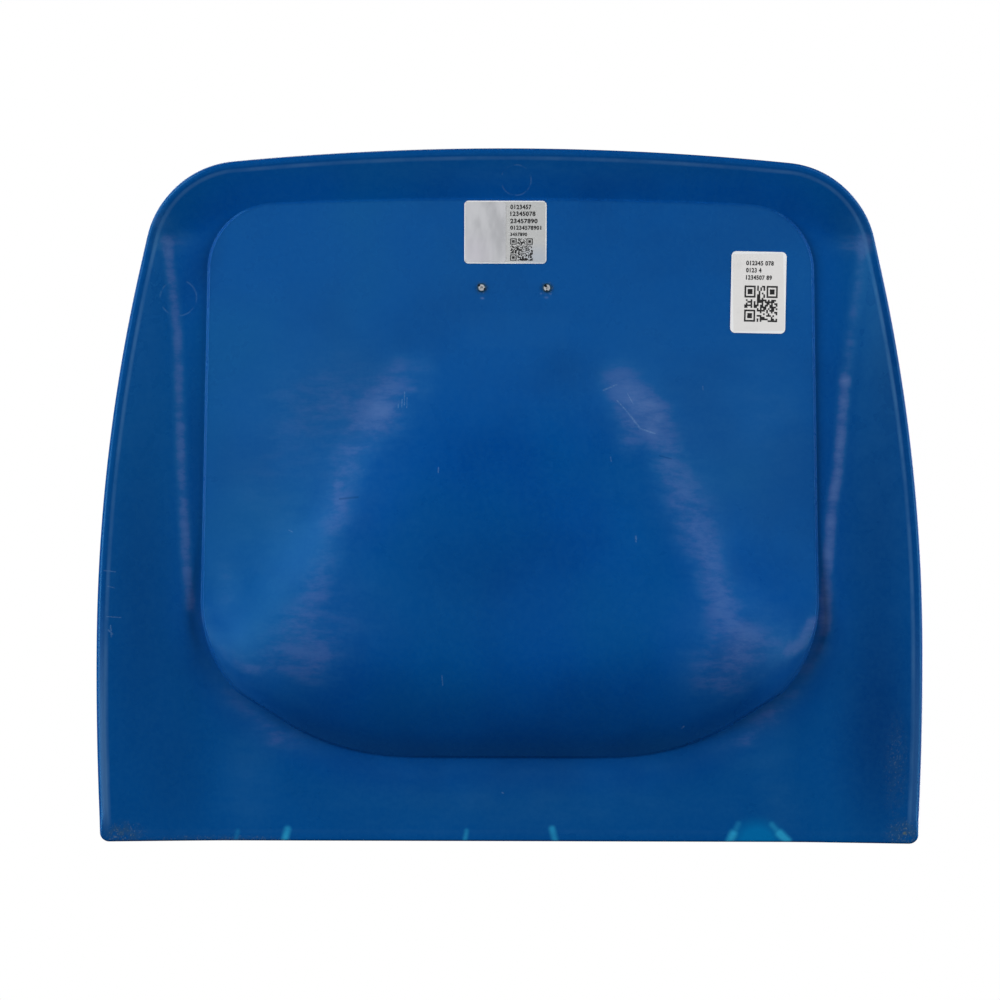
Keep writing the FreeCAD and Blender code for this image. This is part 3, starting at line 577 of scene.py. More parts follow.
def patch(tree, place, x, z, halfWidth, halfHeight, turn=0.0):
    # 1 in the middle of a soft ellipse and 0 outside it, seen from the front.
    moved = addNode(tree, "VectorMath", {0: place, 1: (x, 0, z)}, operation="SUBTRACT")
    turned = addNode(tree, "Mapping", {"Vector": moved, "Rotation": (0, math.radians(turn), 0)})
    size = (1 / halfWidth, 0, 1 / halfHeight)
    scaled = addNode(tree, "VectorMath", {0: turned, 1: size}, operation="MULTIPLY")
    away = addNode(tree, "VectorMath", {0: scaled}, out=1, operation="LENGTH")
    return ramp(tree, away, 0.0, 1.0, 1.0, 0.0)


def folded(tree, operation, values):
    # One value out of several, taken in turn.
    result = values[0]
    for value in values[1:]:
        result = maths(tree, operation, result, value)
    return result


def union(tree, masks):
    return folded(tree, "MAXIMUM", masks)


def summed(tree, *values):
    return folded(tree, "ADD", values)


def times(tree, *values):
    return folded(tree, "MULTIPLY", values)


def spots(tree, place, ellipses):
    # The masks of soft ellipses, each with its strength.
    return [times(tree, patch(tree, place, *ellipse[:5]), ellipse[5]) for ellipse in ellipses]


def bump(tree, shader, height):
    # Millimetres of height, turned into the shader's normal.
    feed(tree, shader.inputs["Normal"], addNode(tree, "Bump", {"Height": height, "Distance": mm}))


def scratchGroup():
    # A node group: how near a point is to a straight scratch from start to end.
    tree = bpy.data.node_groups.new("scratch", "ShaderNodeTree")
    for name in ("Place", "Start", "End"):
        tree.interface.new_socket(name=name, in_out="INPUT", socket_type="NodeSocketVector")
    for name in ("Width", "Core"):
        tree.interface.new_socket(name=name, in_out="INPUT", socket_type="NodeSocketFloat")
    tree.interface.new_socket(name="Mark", in_out="OUTPUT", socket_type="NodeSocketFloat")
    source = tree.nodes.new("NodeGroupInput").outputs
    flat = addNode(tree, "VectorMath", {0: source[0], 1: (1, 0, 1)}, operation="MULTIPLY")
    toPlace = addNode(tree, "VectorMath", {0: flat, 1: source[1]}, operation="SUBTRACT")
    whole = addNode(tree, "VectorMath", {0: source[2], 1: source[1]}, operation="SUBTRACT")
    dot = addNode(tree, "VectorMath", {0: toPlace, 1: whole}, out=1, operation="DOT_PRODUCT")
    square = addNode(tree, "VectorMath", {0: whole, 1: whole}, out=1, operation="DOT_PRODUCT")
    share = maths(tree, "DIVIDE", dot, square, clamp=True)
    nearest = addNode(tree, "VectorMath", {0: whole, "Scale": share}, operation="SCALE")
    gap = addNode(tree, "VectorMath", {0: toPlace, 1: nearest}, out=1, operation="DISTANCE")
    mark = ramp(tree, maths(tree, "DIVIDE", gap, source[3]), source[4], 1.0, 1.0, 0.0)
    sink = tree.nodes.new("NodeGroupOutput")
    tree.links.new(mark, sink.inputs[0])
    return tree


scratchTree = scratchGroup()


def scratch(tree, place, start, end, width, core=0.3):
    # 1 along a line seen from the front, as wide as given, fading from the core's share outwards.
    ends = (start[0], 0, start[1]), (end[0], 0, end[1])
    inputs = dict(enumerate((place, *ends, width, core)))
    return addNode(tree, "Group", inputs, node_tree=scratchTree)


def boxMask(tree, place, x, z, width, tall, turn=0.0, soft=0.05):
    # 1 inside a rectangle turned about its middle, seen from the front.
    moved = addNode(tree, "VectorMath", {0: place, 1: (x, 0, z)}, operation="SUBTRACT")
    turned = addNode(tree, "Mapping", {"Vector": moved, "Rotation": (0, math.radians(turn), 0)})
    away = addNode(tree, "VectorMath", {0: turned}, operation="ABSOLUTE")
    across = maths(tree, "SUBTRACT", coordinate(tree, away, 0), width / 2)
    upwards = maths(tree, "SUBTRACT", coordinate(tree, away, 2), tall / 2)
    beyond = maths(tree, "MAXIMUM", across, upwards)
    return ramp(tree, beyond, -soft, soft, 1.0, 0.0)


# The moulding's plastic. A pair is where an effect starts and where it is whole: millimetres from
# an outline, up the shell or across it, or values of a noise. A share is how much colour is mixed
# in, and a span is what the effect goes from and to.
plastic = {
    "blue": (0.0, 0.067, 0.305), "deepBlue": (0.0, 0.057, 0.272), "greenBlue": (0.0, 0.074, 0.280),
    "wingBlue": (0.0, 0.072, 0.272), "shadeColour": (0.0, 0.030, 0.16),
    # pale blues for painted highlights over real scuffs, and for a bloom that is partly painted light
    "highlightAndScuffColour": (0.06, 0.26, 0.47), "strongHighlightAndScuffColour": (0.17, 0.25, 0.50), "chalkColour": (0.05, 0.25, 0.49),
    # a pale blue for real wear and mould rings, which also paints a highlight on the rim
    "wearColour": (0.12, 0.27, 0.48), "scratchColour": (0.22, 0.38, 0.60),
    "stressColour": (0.02, 0.31, 0.58), "domeColour": (0.0, 0.16, 0.43),
    "dirtColour": (0.035, 0.080, 0.120), "dustColour": (0.20, 0.27, 0.27), "yellow": (0.16, 0.18, 0.08),
    # clouds in the blue, and its deeper wings
    "mottle": {"size": 70.0, "detail": 3}, "mottleEdges": (0.38, 0.62),
    "tint": {"size": 120.0, "detail": 2, "seed": 1}, "greenEdges": (0.5, 0.7), "greenShare": 0.6,
    "wingZone": (6.0, 26.0), "wingShare": 0.6, "shadeShare": 0.35,
    # the panel's arris, its turned-under foot and the rim's rounding, all duller and darkened with painted
    # shade
    "arrisStart": (-2.4, -1.0), "arrisEnd": (0.8, 0.2), "arrisShare": 0.3,
    "underStart": (-17.0, -3.0), "underEnd": (0.6, 0.2), "underHeight": (0.0, -30.0), "underShare": 0.3,
    "roundingZone": (4.9, 3.8), "roundingShare": 0.45, "offFoot": (-98.0, -80.0), "dullShare": 0.6,
    # painted highlights with real scuffs, streaked across, and a pale bloom on the flat of the panel that
    # is partly painted light
    "streaks": {"size": 9.0, "detail": 6, "rough": 0.7, "stretch": (0.35, 1, 1), "seed": 2},
    "streakEdges": (0.34, 0.66), "streakSpan": (0.45, 1.2), "strongHighlightAndScuffEdges": (0.5, 1.6), "highlightAndScuffShare": 0.1,
    "onPanel": (0.5, -1.5), "chalkBulge": (0.0, 0.4), "chalkEdges": (0.3, 0.7), "chalkSpan": (0.6, 1.0),
    "chalkShare": 0.1,
    "fine": {"size": 2.4, "detail": 4, "rough": 0.65, "seed": 9}, "fineEdges": (0.35, 0.65),
    "fineShare": 0.035,
    # the rim, rubbed pale along its lip and lower down, more on the left: partly real wear, partly a
    # painted highlight
    "lipInside": (6.8, 5.4), "lipOutside": (3.8, 5.0), "lowRimInside": (5.6, 4.0),
    "lowRimOutside": (0.8, 2.6), "lowRimHeight": (40.0, -50.0), "leftwards": (180.0, -180.0),
    "leftSpan": (0.6, 1.5),
    "rubbed": {"size": 26.0, "detail": 6, "rough": 0.6, "seed": 3}, "rubbedEdges": (0.3, 0.7),
    "rubbedSpan": (0.35, 1.0), "wearShare": 0.24,
    # scratches, cuts, stress, dirt and the moulding's rings
    "broken": {"size": 0.8, "detail": 3, "seed": 4}, "brokenEdges": (0.4, 0.6), "brokenSpan": (0.3, 1.0),
    "markShare": 0.24, "cutShare": 0.45, "domeShare": 0.85,
    "stressEdges": (0.3, 0.7), "stressSpan": (0.6, 1.0),
    "clouds": {"size": 4.0, "detail": 6, "rough": 0.7, "seed": 7}, "cloudEdges": (0.35, 0.65),
    "grains": {"size": 1.0, "detail": 3, "rough": 0.7, "seed": 10}, "grainEdges": (0.56, 0.66),
    "ringBreaks": {"size": 5.0, "seed": 8}, "ringEdges": (0.4, 0.6), "ringZone": (0.2, 0.6),
    "ringShare": 0.16,
    # gloss and relief
    "sheen": (0.12, 0.62, 1.0), "gloss": 0.36, "dullGloss": 0.14,
    "smooth": {"size": 14.0, "detail": 5, "seed": 5}, "smoothEdges": (0.3, 0.7), "roughSpan": (0.25, 0.32),
    "highlightAndScuffRoughness": 0.12, "wearRoughness": 0.1,
    "grain": {"size": 1.1, "detail": 3}, "wave": {"size": 22.0, "detail": 2, "seed": 6},
    "grainHeight": 0.012, "waveHeight": 0.12, "markDepth": 0.05, "ringDepth": 0.06,
}
# By the rivets and where the panel is scuffed: x, z, half width, half height, turn, strength.
smallMarks = [
    (-15.2, 190.1, 1.9, 1.0, 0, 5.0), (19.0, 190.6, 2.3, 1.2, 0, 5.0), (16.2, 192.7, 1.0, 1.0, 0, 4.0),
    (21.3, 192.5, 1.0, 1.0, 0, 4.0), (-65, 127, 16, 14, 0, 0.9), (-52.5, 141, 6, 3.5, 0, 0.9),
    (64, 132, 17, 17, -35, 1.0), (-92, 89, 4, 6, 0, 1.5), (-90, 79, 6, 8, 0, 1.0), (76, 120, 5, 9, 0, 0.8),
]
ghost = {"x": 3.3, "z": 173.1, "width": 54.4, "tall": 19.2, "turn": 0.0, "soft": 1.6}  # where a plate was
ghostStrength = 0.18
scratches = [  # start, end, width in millimetres
    ((-56.5, 140), (-56.6, 133), 0.4), ((-57.8, 136), (-58, 131.5), 0.35),
    ((-59.8, 133.5), (-59.9, 131.5), 0.4), ((-55.2, 137), (-55.3, 131.5), 0.3),
    ((-38.2, 99.6), (-38.3, 97), 0.45), ((-36, -11), (-35.5, -16), 0.4),
    ((49.6, 141.1), (56.8, 144.3), 0.6), ((56.9, 135.7), (62.8, 129.3), 0.5),
    ((62.8, 129.3), (69.2, 120.8), 0.7), ((69.2, 120.8), (77.2, 118.1), 0.6),
    ((62.5, 139.5), (65.5, 134), 0.4), ((53.5, 105.4), (53.8, 103.2), 0.4),
    ((66.9, 63.2), (67.0, 60.6), 0.7), ((102.8, 143.5), (102.9, 141.5), 0.3),
    ((-118, 66), (-116, 65), 0.4), ((92, -39), (93, -38), 0.6), ((-3.8, -74), (-3.0, -74.3), 0.45),
    ((-216, 44.3), (-210, 43.6), 0.4), ((-214.5, 19.8), (-207, 19.2), 0.35),
    ((-212.4, 15), (-212.0, 9), 0.5), ((-213.4, 12.5), (-211.5, 10.5), 0.6),
    ((-214, 36), (-210.5, 35), 0.4),
]
cuts = [((-90.7, 82.7), (-81.1, 83.7), 0.8), ((79.6, 106.2), (86, 104.6), 0.5)]  # dark: start, end, width
stressStreaks = [  # where the brackets have bent the lower edge: start, end, half width, strength
    ((-120.0, -99.6), (-118.4, -94.0), 3.2, 1.0), ((-23.6, -99.6), (-22.7, -94.5), 2.2, 0.7),
    ((24.6, -99.6), (23.0, -93.5), 3.0, 1.0), ((-146.0, -99.6), (-145.0, -95.0), 2.2, 0.35),
    ((117.8, -99.8), (119.8, -95.6), 3.6, 1.3), ((119.8, -95.6), (122.6, -90.4), 2.6, 0.45),
    ((148.8, -99.4), (144.6, -95.4), 3.6, 1.3), ((144.6, -95.4), (140.4, -90.6), 2.6, 0.5),
]
stressDome = {"place": (132.6, -99.6, 18.5, 15.5), "strength": 1.6}
grimeSpots = [  # x, z, half width, half height, turn, strength; the last two are round the rivets
    (-206, -96, 16, 9, 0, 0.55), (210, -95, 14, 12, 0, 0.5), (206, -60, 9, 40, 0, 0.2),
    (-157, -99, 60, 3, 0, 0.3), (-15.55, 195.8, 4.6, 4.6, 0, 1.0), (19.35, 195.8, 4.6, 4.6, 0, 1.0),
]
yellowSpot = {"place": (210.4, -94.4, 1.6, 1.3), "strength": 0.6}
mouldMarks = [(2.7, 253.2, 8.0), (-177.5, 190.0, 9.6)]  # x, z, radius


def span(tree, value, edges, reach=(0.0, 1.0)):
    # One of the plastic's named zones or edges, read on a value.
    return ramp(tree, value, *plastic[edges], *reach)


def texture(tree, place, name):
    return noise(tree, place, **plastic[name])


def circleLine(tree, place, x, z, radius):
    # A thin broken ring on the surface, as an ejector or gate leaves.
    flat = addNode(tree, "VectorMath", {0: place, 1: (1, 0, 1)}, operation="MULTIPLY")
    away = addNode(tree, "VectorMath", {0: flat, 1: (x, 0, z)}, out=1, operation="DISTANCE")
    off = maths(tree, "ABSOLUTE", maths(tree, "SUBTRACT", away, radius))
    breaks = span(tree, texture(tree, place, "ringBreaks"), "ringEdges")
    return times(tree, span(tree, off, "ringZone", (1.0, 0.0)), breaks)


def shellMasks(tree, place):
    # What the plastic's colour, gloss and relief read, by name: distances in millimetres from the
    # two outlines, noises, and masks from 0 up.
    names = ("edgeDistance", "panelDistance", "front", "bulge", "highlightsAndScuffs", "shade")
    mask = {name: addNode(tree, "Attribute", out=2, attribute_name=name) for name in names}
    edge, panelEdge, front = mask["edgeDistance"], mask["panelDistance"], mask["front"]
    x, z = coordinate(tree, place, 0), coordinate(tree, place, 2)
    mask["streaks"] = texture(tree, place, "streaks")
    mask["tint"] = texture(tree, place, "tint")

    # the panel's foot, turned under, and what is dull beside it, all darkened with painted shade
    under = times(tree, span(tree, panelEdge, "underStart"), span(tree, z, "underHeight"))
    under = times(tree, under, span(tree, panelEdge, "underEnd"))
    arris = times(tree, span(tree, panelEdge, "arrisStart"), span(tree, panelEdge, "arrisEnd"))
    offFoot = span(tree, z, "offFoot")
    rounding = times(tree, span(tree, edge, "roundingZone"), front, offFoot, plastic["roundingShare"])
    dull = [times(tree, arris, plastic["arrisShare"]), rounding, times(tree, under, plastic["underShare"])]
    mask["dull"] = union(tree, dull)

    # painted highlights and real scuffs, broken by the streaks
    highlightsAndScuffs = summed(tree, *spots(tree, place, smallMarks), mask["highlightsAndScuffs"])
    highlightsAndScuffs = times(tree, highlightsAndScuffs, span(tree, mask["streaks"], "streakEdges", plastic["streakSpan"]))
    highlightsAndScuffs = summed(tree, highlightsAndScuffs, times(tree, boxMask(tree, place, **ghost), ghostStrength))
    mask["highlightsAndScuffs"] = times(tree, highlightsAndScuffs, maths(tree, "SUBTRACT", 1.0, under), front)
    # a pale bloom on the flat of the panel, partly painted light where the flat faces the lamps
    flat = span(tree, mask["bulge"], "chalkBulge", (1.0, 0.0))
    chalk = times(tree, span(tree, panelEdge, "onPanel"), flat)
    chalk = times(tree, chalk, span(tree, mask["tint"], "chalkEdges", plastic["chalkSpan"]))
    mask["chalk"] = times(tree, chalk, maths(tree, "SUBTRACT", 1.0, mask["dull"]))

    # the rubbed lip all round, and more of the rim lower down: partly real wear, partly a painted highlight
    rubbed = span(tree, texture(tree, place, "rubbed"), "rubbedEdges", plastic["rubbedSpan"])
    lip = times(tree, span(tree, edge, "lipInside"), span(tree, edge, "lipOutside"))
    lip = times(tree, lip, times(tree, rubbed, offFoot))
    lowRim = times(tree, span(tree, edge, "lowRimInside"), span(tree, edge, "lowRimOutside"))
    lowRim = times(tree, lowRim, times(tree, span(tree, z, "lowRimHeight"), offFoot))
    lowRim = times(tree, lowRim, span(tree, x, "leftwards", plastic["leftSpan"]))
    mask["wear"] = times(tree, summed(tree, lip, lowRim), front)

    # single marks
    broken = span(tree, texture(tree, place, "broken"), "brokenEdges", plastic["brokenSpan"])
    marks = union(tree, [scratch(tree, place, *line) for line in scratches])
    mask["marks"] = times(tree, marks, broken)
    mask["cuts"] = union(tree, [scratch(tree, place, *line) for line in cuts])
    dome = patch(tree, place, *stressDome["place"])
    dome = maths(tree, "MULTIPLY", dome, stressDome["strength"], clamp=True)
    mask["dome"] = times(tree, dome, front)
    stress = [times(tree, scratch(tree, place, *line[:3], 0.0), line[3]) for line in stressStreaks]
    stress = times(tree, union(tree, stress), front)
    mask["stress"] = times(tree, stress, span(tree, mask["streaks"], "stressEdges", plastic["stressSpan"]))
    mask["grime"] = union(tree, spots(tree, place, grimeSpots))
    mask["yellow"] = patch(tree, place, *yellowSpot["place"])
    mask["rings"] = times(tree, union(tree, [circleLine(tree, place, *mark) for mark in mouldMarks]), front)
    return mask


def bluePlastic():
    # Blue with soft clouds, then in turn painted shade, a bloom that is partly painted light, painted
    # highlights with scuffs, wear partly painted as a highlight, scratches, stress and dirt.
    material, tree, shader = newMaterial("blue_plastic")
    place = millimetres(tree)
    mask = shellMasks(tree, place)
    clouds = span(tree, texture(tree, place, "mottle"), "mottleEdges")
    green = span(tree, mask["tint"], "greenEdges", (0.0, plastic["greenShare"]))
    onWing = span(tree, mask["panelDistance"], "wingZone", (0.0, plastic["wingShare"]))
    fine = span(tree, texture(tree, place, "fine"), "fineEdges", (0.0, plastic["fineShare"]))
    cloudy = span(tree, texture(tree, place, "clouds"), "cloudEdges")
    grains = span(tree, texture(tree, place, "grains"), "grainEdges")
    strongHighlightAndScuff = span(tree, mask["highlightsAndScuffs"], "strongHighlightAndScuffEdges")
    highlightAndScuffPale = mixColour(tree, strongHighlightAndScuff, plastic["highlightAndScuffColour"], plastic["strongHighlightAndScuffColour"])
    layers = [  # share, colour
        (green, plastic["greenBlue"]),
        (onWing, plastic["wingBlue"]),
        (times(tree, mask["shade"], plastic["shadeShare"]), plastic["shadeColour"]),
        # painted shade on the panel's arris, its turned-under foot and the rim's rounding
        (times(tree, mask["dull"], plastic["dullShare"]), plastic["shadeColour"]),
        # a pale bloom on the panel's flat, partly painted light
        (times(tree, mask["chalk"], plastic["chalkShare"]), plastic["chalkColour"]),
        # painted highlights, with real scuffs among them
        (times(tree, mask["highlightsAndScuffs"], plastic["highlightAndScuffShare"]), highlightAndScuffPale),
        # real wear on the rim, with a painted highlight that is stronger on the left
        (times(tree, mask["wear"], plastic["wearShare"]), plastic["wearColour"]),
        (fine, plastic["chalkColour"]),
        (times(tree, mask["marks"], plastic["markShare"]), plastic["scratchColour"]),
        (times(tree, mask["cuts"], plastic["cutShare"]), plastic["shadeColour"]),
        (times(tree, mask["dome"], plastic["domeShare"]), plastic["domeColour"]),
        (mask["stress"], plastic["stressColour"]),
        (times(tree, mask["grime"], cloudy), plastic["dirtColour"]),
        (times(tree, mask["grime"], grains), plastic["dustColour"]),
        (times(tree, mask["yellow"], yellowSpot["strength"]), plastic["yellow"]),
        (times(tree, mask["rings"], plastic["ringShare"]), plastic["wearColour"]),
    ]
    colour = mixColour(tree, clouds, plastic["deepBlue"], plastic["blue"])
    for share, paint in layers:
        colour = mixColour(tree, share, colour, paint)
    feed(tree, shader.inputs["Base Color"], colour)

    gloss = ramp(tree, mask["dull"], 0.0, 1.0, plastic["gloss"], plastic["dullGloss"])
    feed(tree, shader.inputs["Specular IOR Level"], gloss)
    feed(tree, shader.inputs["Specular Tint"], plastic["sheen"])
    rough = span(tree, texture(tree, place, "smooth"), "smoothEdges", plastic["roughSpan"])
    rough = summed(tree, rough, times(tree, mask["highlightsAndScuffs"], plastic["highlightAndScuffRoughness"]),
                   times(tree, mask["wear"], plastic["wearRoughness"]))
    feed(tree, shader.inputs["Roughness"], rough)
    grain = times(tree, texture(tree, place, "grain"), plastic["grainHeight"])
    height = summed(tree, grain, times(tree, texture(tree, place, "wave"), plastic["waveHeight"]))
    height = maths(tree, "SUBTRACT", height, times(tree, mask["marks"], plastic["markDepth"]))
    height = maths(tree, "SUBTRACT", height, times(tree, mask["rings"], plastic["ringDepth"]))
    bump(tree, shader, height)
    return material


shellMaterial = bluePlastic()
for piece in shellPieces:
    piece.data.materials.append(shellMaterial)
print("blue plastic made")


# Places of the stickers on the panel, as in the solids.
stickers = {
    "certificate": {"x": -2.9, "z": 225.45, "width": 43.9, "tall": 33.5, "turn": 0.0, "border": 0.5},
    "seat": {"x": 132.3, "z": 193.65, "width": 29.4, "tall": 43.6, "turn": 1.0, "border": 1.1},
}
paper = {
    "grey": (0.57, 0.58, 0.58), "white": (0.92, 0.94, 0.96), "warm": (0.84, 0.83, 0.82),
    "soil": {"size": 6.0, "detail": 6, "rough": 0.65, "seed": 11}, "soilEdges": (0.5, 0.75),
    "soilColour": (0.42, 0.44, 0.42), "soilShare": 0.12,
    "coolPlace": (14.0, 212.0, 14.0, 10.0), "coolColour": (0.42, 0.50, 0.62), "coolShare": 0.5,
    "gloss": {"size": 3.0, "seed": 12}, "glossEdges": (0.3, 0.7), "roughSpan": (0.38, 0.5),
    "fibres": {"size": 0.5, "detail": 3, "seed": 13}, "fibreHeight": 0.01,
}
foil = {
    "dark": (0.56, 0.57, 0.60), "light": (0.72, 0.73, 0.76), "metallic": 0.2,
    "sheen": {"size": 9.0, "detail": 3, "stretch": (1, 1, 0.4), "seed": 14}, "sheenEdges": (0.35, 0.65),
    "lilacPlace": (-20.0, 214.0, 16.0, 16.0), "lilac": (0.74, 0.72, 0.80), "lilacShare": 0.6,
    "glossEdges": (0.3, 0.7), "roughSpan": (0.34, 0.48),
    "lines": {"Scale": 0.9, "Distortion": 3.0, "Detail": 1.0}, "lineHeight": 0.012,
}
inks = {
    "black": (0.012, 0.012, 0.014), "pale": (0.2, 0.2, 0.2),
    "worn": {"size": 0.7, "detail": 4, "rough": 0.7, "seed": 15}, "wornEdges": (0.6, 0.8),
    "wornShare": 0.35, "glossEdges": (0.3, 0.7), "roughSpan": (0.35, 0.55), "height": 0.004,
}


def filmMaterial(name, sticker, inner):
    # Printed film: an inner field, a white border, faint soiling and a soft gloss.
    material, tree, shader = newMaterial(name)
    place = millimetres(tree)
    margin = 2 * sticker["border"]
    field = boxMask(tree, place, sticker["x"], sticker["z"], sticker["width"] - margin,
                    sticker["tall"] - margin, sticker["turn"])
    colour = mixColour(tree, field, paper["white"], inner)
    soil = ramp(tree, noise(tree, place, **paper["soil"]), *paper["soilEdges"], 0.0, paper["soilShare"])
    colour = mixColour(tree, soil, colour, paper["soilColour"])
    cool = times(tree, patch(tree, place, *paper["coolPlace"]), paper["coolShare"])
    colour = mixColour(tree, cool, colour, paper["coolColour"])
    feed(tree, shader.inputs["Base Color"], colour)
    rough = ramp(tree, noise(tree, place, **paper["gloss"]), *paper["glossEdges"], *paper["roughSpan"])
    feed(tree, shader.inputs["Roughness"], rough)
    bump(tree, shader, times(tree, noise(tree, place, **paper["fibres"]), paper["fibreHeight"]))
    return material


def foilMaterial():
    # Metallised film with a cloudy sheen, a lilac corner and fine embossed lines.
    material, tree, shader = newMaterial("silver_foil")
    place = millimetres(tree)
    sheen = noise(tree, place, **foil["sheen"])
    colour = mixColour(tree, ramp(tree, sheen, *foil["sheenEdges"]), foil["dark"], foil["light"])
    lilac = times(tree, patch(tree, place, *foil["lilacPlace"]), foil["lilacShare"])
    colour = mixColour(tree, lilac, colour, foil["lilac"])
    feed(tree, shader.inputs["Base Color"], colour)
    feed(tree, shader.inputs["Metallic"], foil["metallic"])
    feed(tree, shader.inputs["Roughness"], ramp(tree, sheen, *foil["glossEdges"], *foil["roughSpan"]))
    lines = addNode(tree, "TexWave", {"Vector": place, **foil["lines"]}, out=1, bands_direction="Z")
    bump(tree, shader, times(tree, lines, foil["lineHeight"]))
    return material


def inkMaterial():
    # Black print, worn pale in small spots.
    material, tree, shader = newMaterial("print_ink")
    worn = noise(tree, millimetres(tree), **inks["worn"])
    pale = ramp(tree, worn, *inks["wornEdges"], 0.0, inks["wornShare"])
    feed(tree, shader.inputs["Base Color"], mixColour(tree, pale, inks["black"], inks["pale"]))
    feed(tree, shader.inputs["Roughness"], ramp(tree, worn, *inks["glossEdges"], *inks["roughSpan"]))
    bump(tree, shader, times(tree, worn, inks["height"]))
    return material


# What the metals share. A size is a share of the metal's own grain.
metal = {
    "mottle": {"detail": 5, "seed": 21}, "mottleEdges": (0.35, 0.65), "crystalShare": 0.35,
    "spotSize": 1.7, "spots": {"detail": 6, "rough": 0.7, "seed": 22}, "stainEdges": (0.62, 0.72),
    "stainDulls": 0.8, "glossEdges": (0.3, 0.7), "smoother": 0.06, "rougher": 0.08, "stainRoughness": 0.3,
    "lineSize": 0.25, "lines": {"detail": 3, "stretch": (1, 1, 0.15), "seed": 23},
    "lineHeight": 0.012, "stainHeight": 0.02,
}


def metalMaterial(name, light, dark, roughness, grain, stain, stainShare, spangle=0.0):
    # Plated or bare metal: mottled, with crystals where it has spangle, stains and fine scratches.
    material, tree, shader = newMaterial(name)
    place = millimetres(tree)
    mottle = noise(tree, place, grain, **metal["mottle"])
    colour = mixColour(tree, ramp(tree, mottle, *metal["mottleEdges"]), dark, light)
    if spangle:
        cell = addNode(tree, "TexVoronoi", {"Vector": place, "Scale": 1 / spangle}, out=1)
        crystal = addNode(tree, "SeparateColor", {0: cell}, out=0)
        colour = mixColour(tree, times(tree, crystal, metal["crystalShare"]), colour, dark)
    spotty = noise(tree, place, grain * metal["spotSize"], **metal["spots"])
    stained = ramp(tree, spotty, *metal["stainEdges"], 0.0, stainShare)
    feed(tree, shader.inputs["Base Color"], mixColour(tree, stained, colour, stain))
    bare = maths(tree, "SUBTRACT", 1.0, times(tree, stained, metal["stainDulls"]))
    feed(tree, shader.inputs["Metallic"], bare)
    reach = roughness - metal["smoother"], roughness + metal["rougher"]
    rough = ramp(tree, mottle, *metal["glossEdges"], *reach)
    rough = summed(tree, rough, times(tree, stained, metal["stainRoughness"]))
    feed(tree, shader.inputs["Roughness"], rough)
    lines = noise(tree, place, grain * metal["lineSize"], **metal["lines"])
    relief = times(tree, lines, metal["lineHeight"]), times(tree, stained, metal["stainHeight"])
    bump(tree, shader, summed(tree, *relief))
    return material


rust, zincBloom, verdigris = (0.16, 0.055, 0.02), (0.62, 0.63, 0.62), (0.12, 0.16, 0.10)
metals = {
    "zinc_plate": {"light": (0.62, 0.64, 0.66), "dark": (0.40, 0.42, 0.45), "roughness": 0.38,
                   "grain": 9.0, "stain": zincBloom, "stainShare": 0.55, "spangle": 5.0},
    "screw_steel": {"light": (0.60, 0.58, 0.52), "dark": (0.38, 0.36, 0.33), "roughness": 0.32,
                    "grain": 2.5, "stain": rust, "stainShare": 0.5},
    "spring_steel": {"light": (0.40, 0.40, 0.41), "dark": (0.22, 0.22, 0.24), "roughness": 0.4,
                     "grain": 2.0, "stain": rust, "stainShare": 0.6},
    "insert_brass": {"light": (0.72, 0.52, 0.24), "dark": (0.50, 0.34, 0.14), "roughness": 0.35,
                     "grain": 2.0, "stain": verdigris, "stainShare": 0.5},
}
rivets = {
    "aluminium": {"light": (0.80, 0.82, 0.85), "dark": (0.55, 0.58, 0.62)},
    "steel": {"light": (0.70, 0.71, 0.73), "dark": (0.40, 0.41, 0.43)},
    "places": [(-15.55, 195.8), (19.35, 195.8)], "headRadius": 2.5, "rimEdges": (0.68, 0.82),
    "hollows": [(-17.0, 197.0, 1.3), (-14.0, 195.0, 1.1), (18.6, 196.9, 1.5), (19.3, 194.3, 0.9)],
    # the hollows' colour is painted shade
    "hollowEdges": (0.3, 0.6), "dirt": (0.012, 0.055, 0.11), "hollowShade": (0.006, 0.012, 0.02),
    "metallic": 0.5, "gloss": 0.5, "coveredGloss": 0.03,
    "surface": {"roughness": 0.34, "grain": 1.0, "stain": zincBloom, "stainShare": 0.4},
}


def rivetMaterial(name, light, dark):
    # Bright in the middle of each rivet, with painted shade in a broken mandrel's hollows and dirt round
    # the rim.
    material = metalMaterial(name, light, dark, **rivets["surface"])
    tree = material.node_tree
    place = millimetres(tree)
    inputs = tree.nodes["Principled BSDF"].inputs
    reach = 2 * rivets["headRadius"]
    middle = union(tree, [patch(tree, place, x, z, reach, reach) for x, z in rivets["places"]])
    rim = ramp(tree, middle, *rivets["rimEdges"], 1.0, 0.0)
    # painted shade in the broken mandrel's hollows
    hollowShade = union(tree, [patch(tree, place, x, z, size, size) for x, z, size in rivets["hollows"]])
    hollowShade = ramp(tree, hollowShade, *rivets["hollowEdges"])
    colour = mixColour(tree, rim, inputs["Base Color"].links[0].from_socket, rivets["dirt"])
    feed(tree, inputs["Base Color"], mixColour(tree, hollowShade, colour, rivets["hollowShade"]))
    covered = union(tree, [rim, hollowShade])
    feed(tree, inputs["Metallic"], ramp(tree, covered, 0.0, 1.0, rivets["metallic"], 0.0))
    gloss = ramp(tree, covered, 0.0, 1.0, rivets["gloss"], rivets["coveredGloss"])
    feed(tree, inputs["Specular IOR Level"], gloss)
    return material


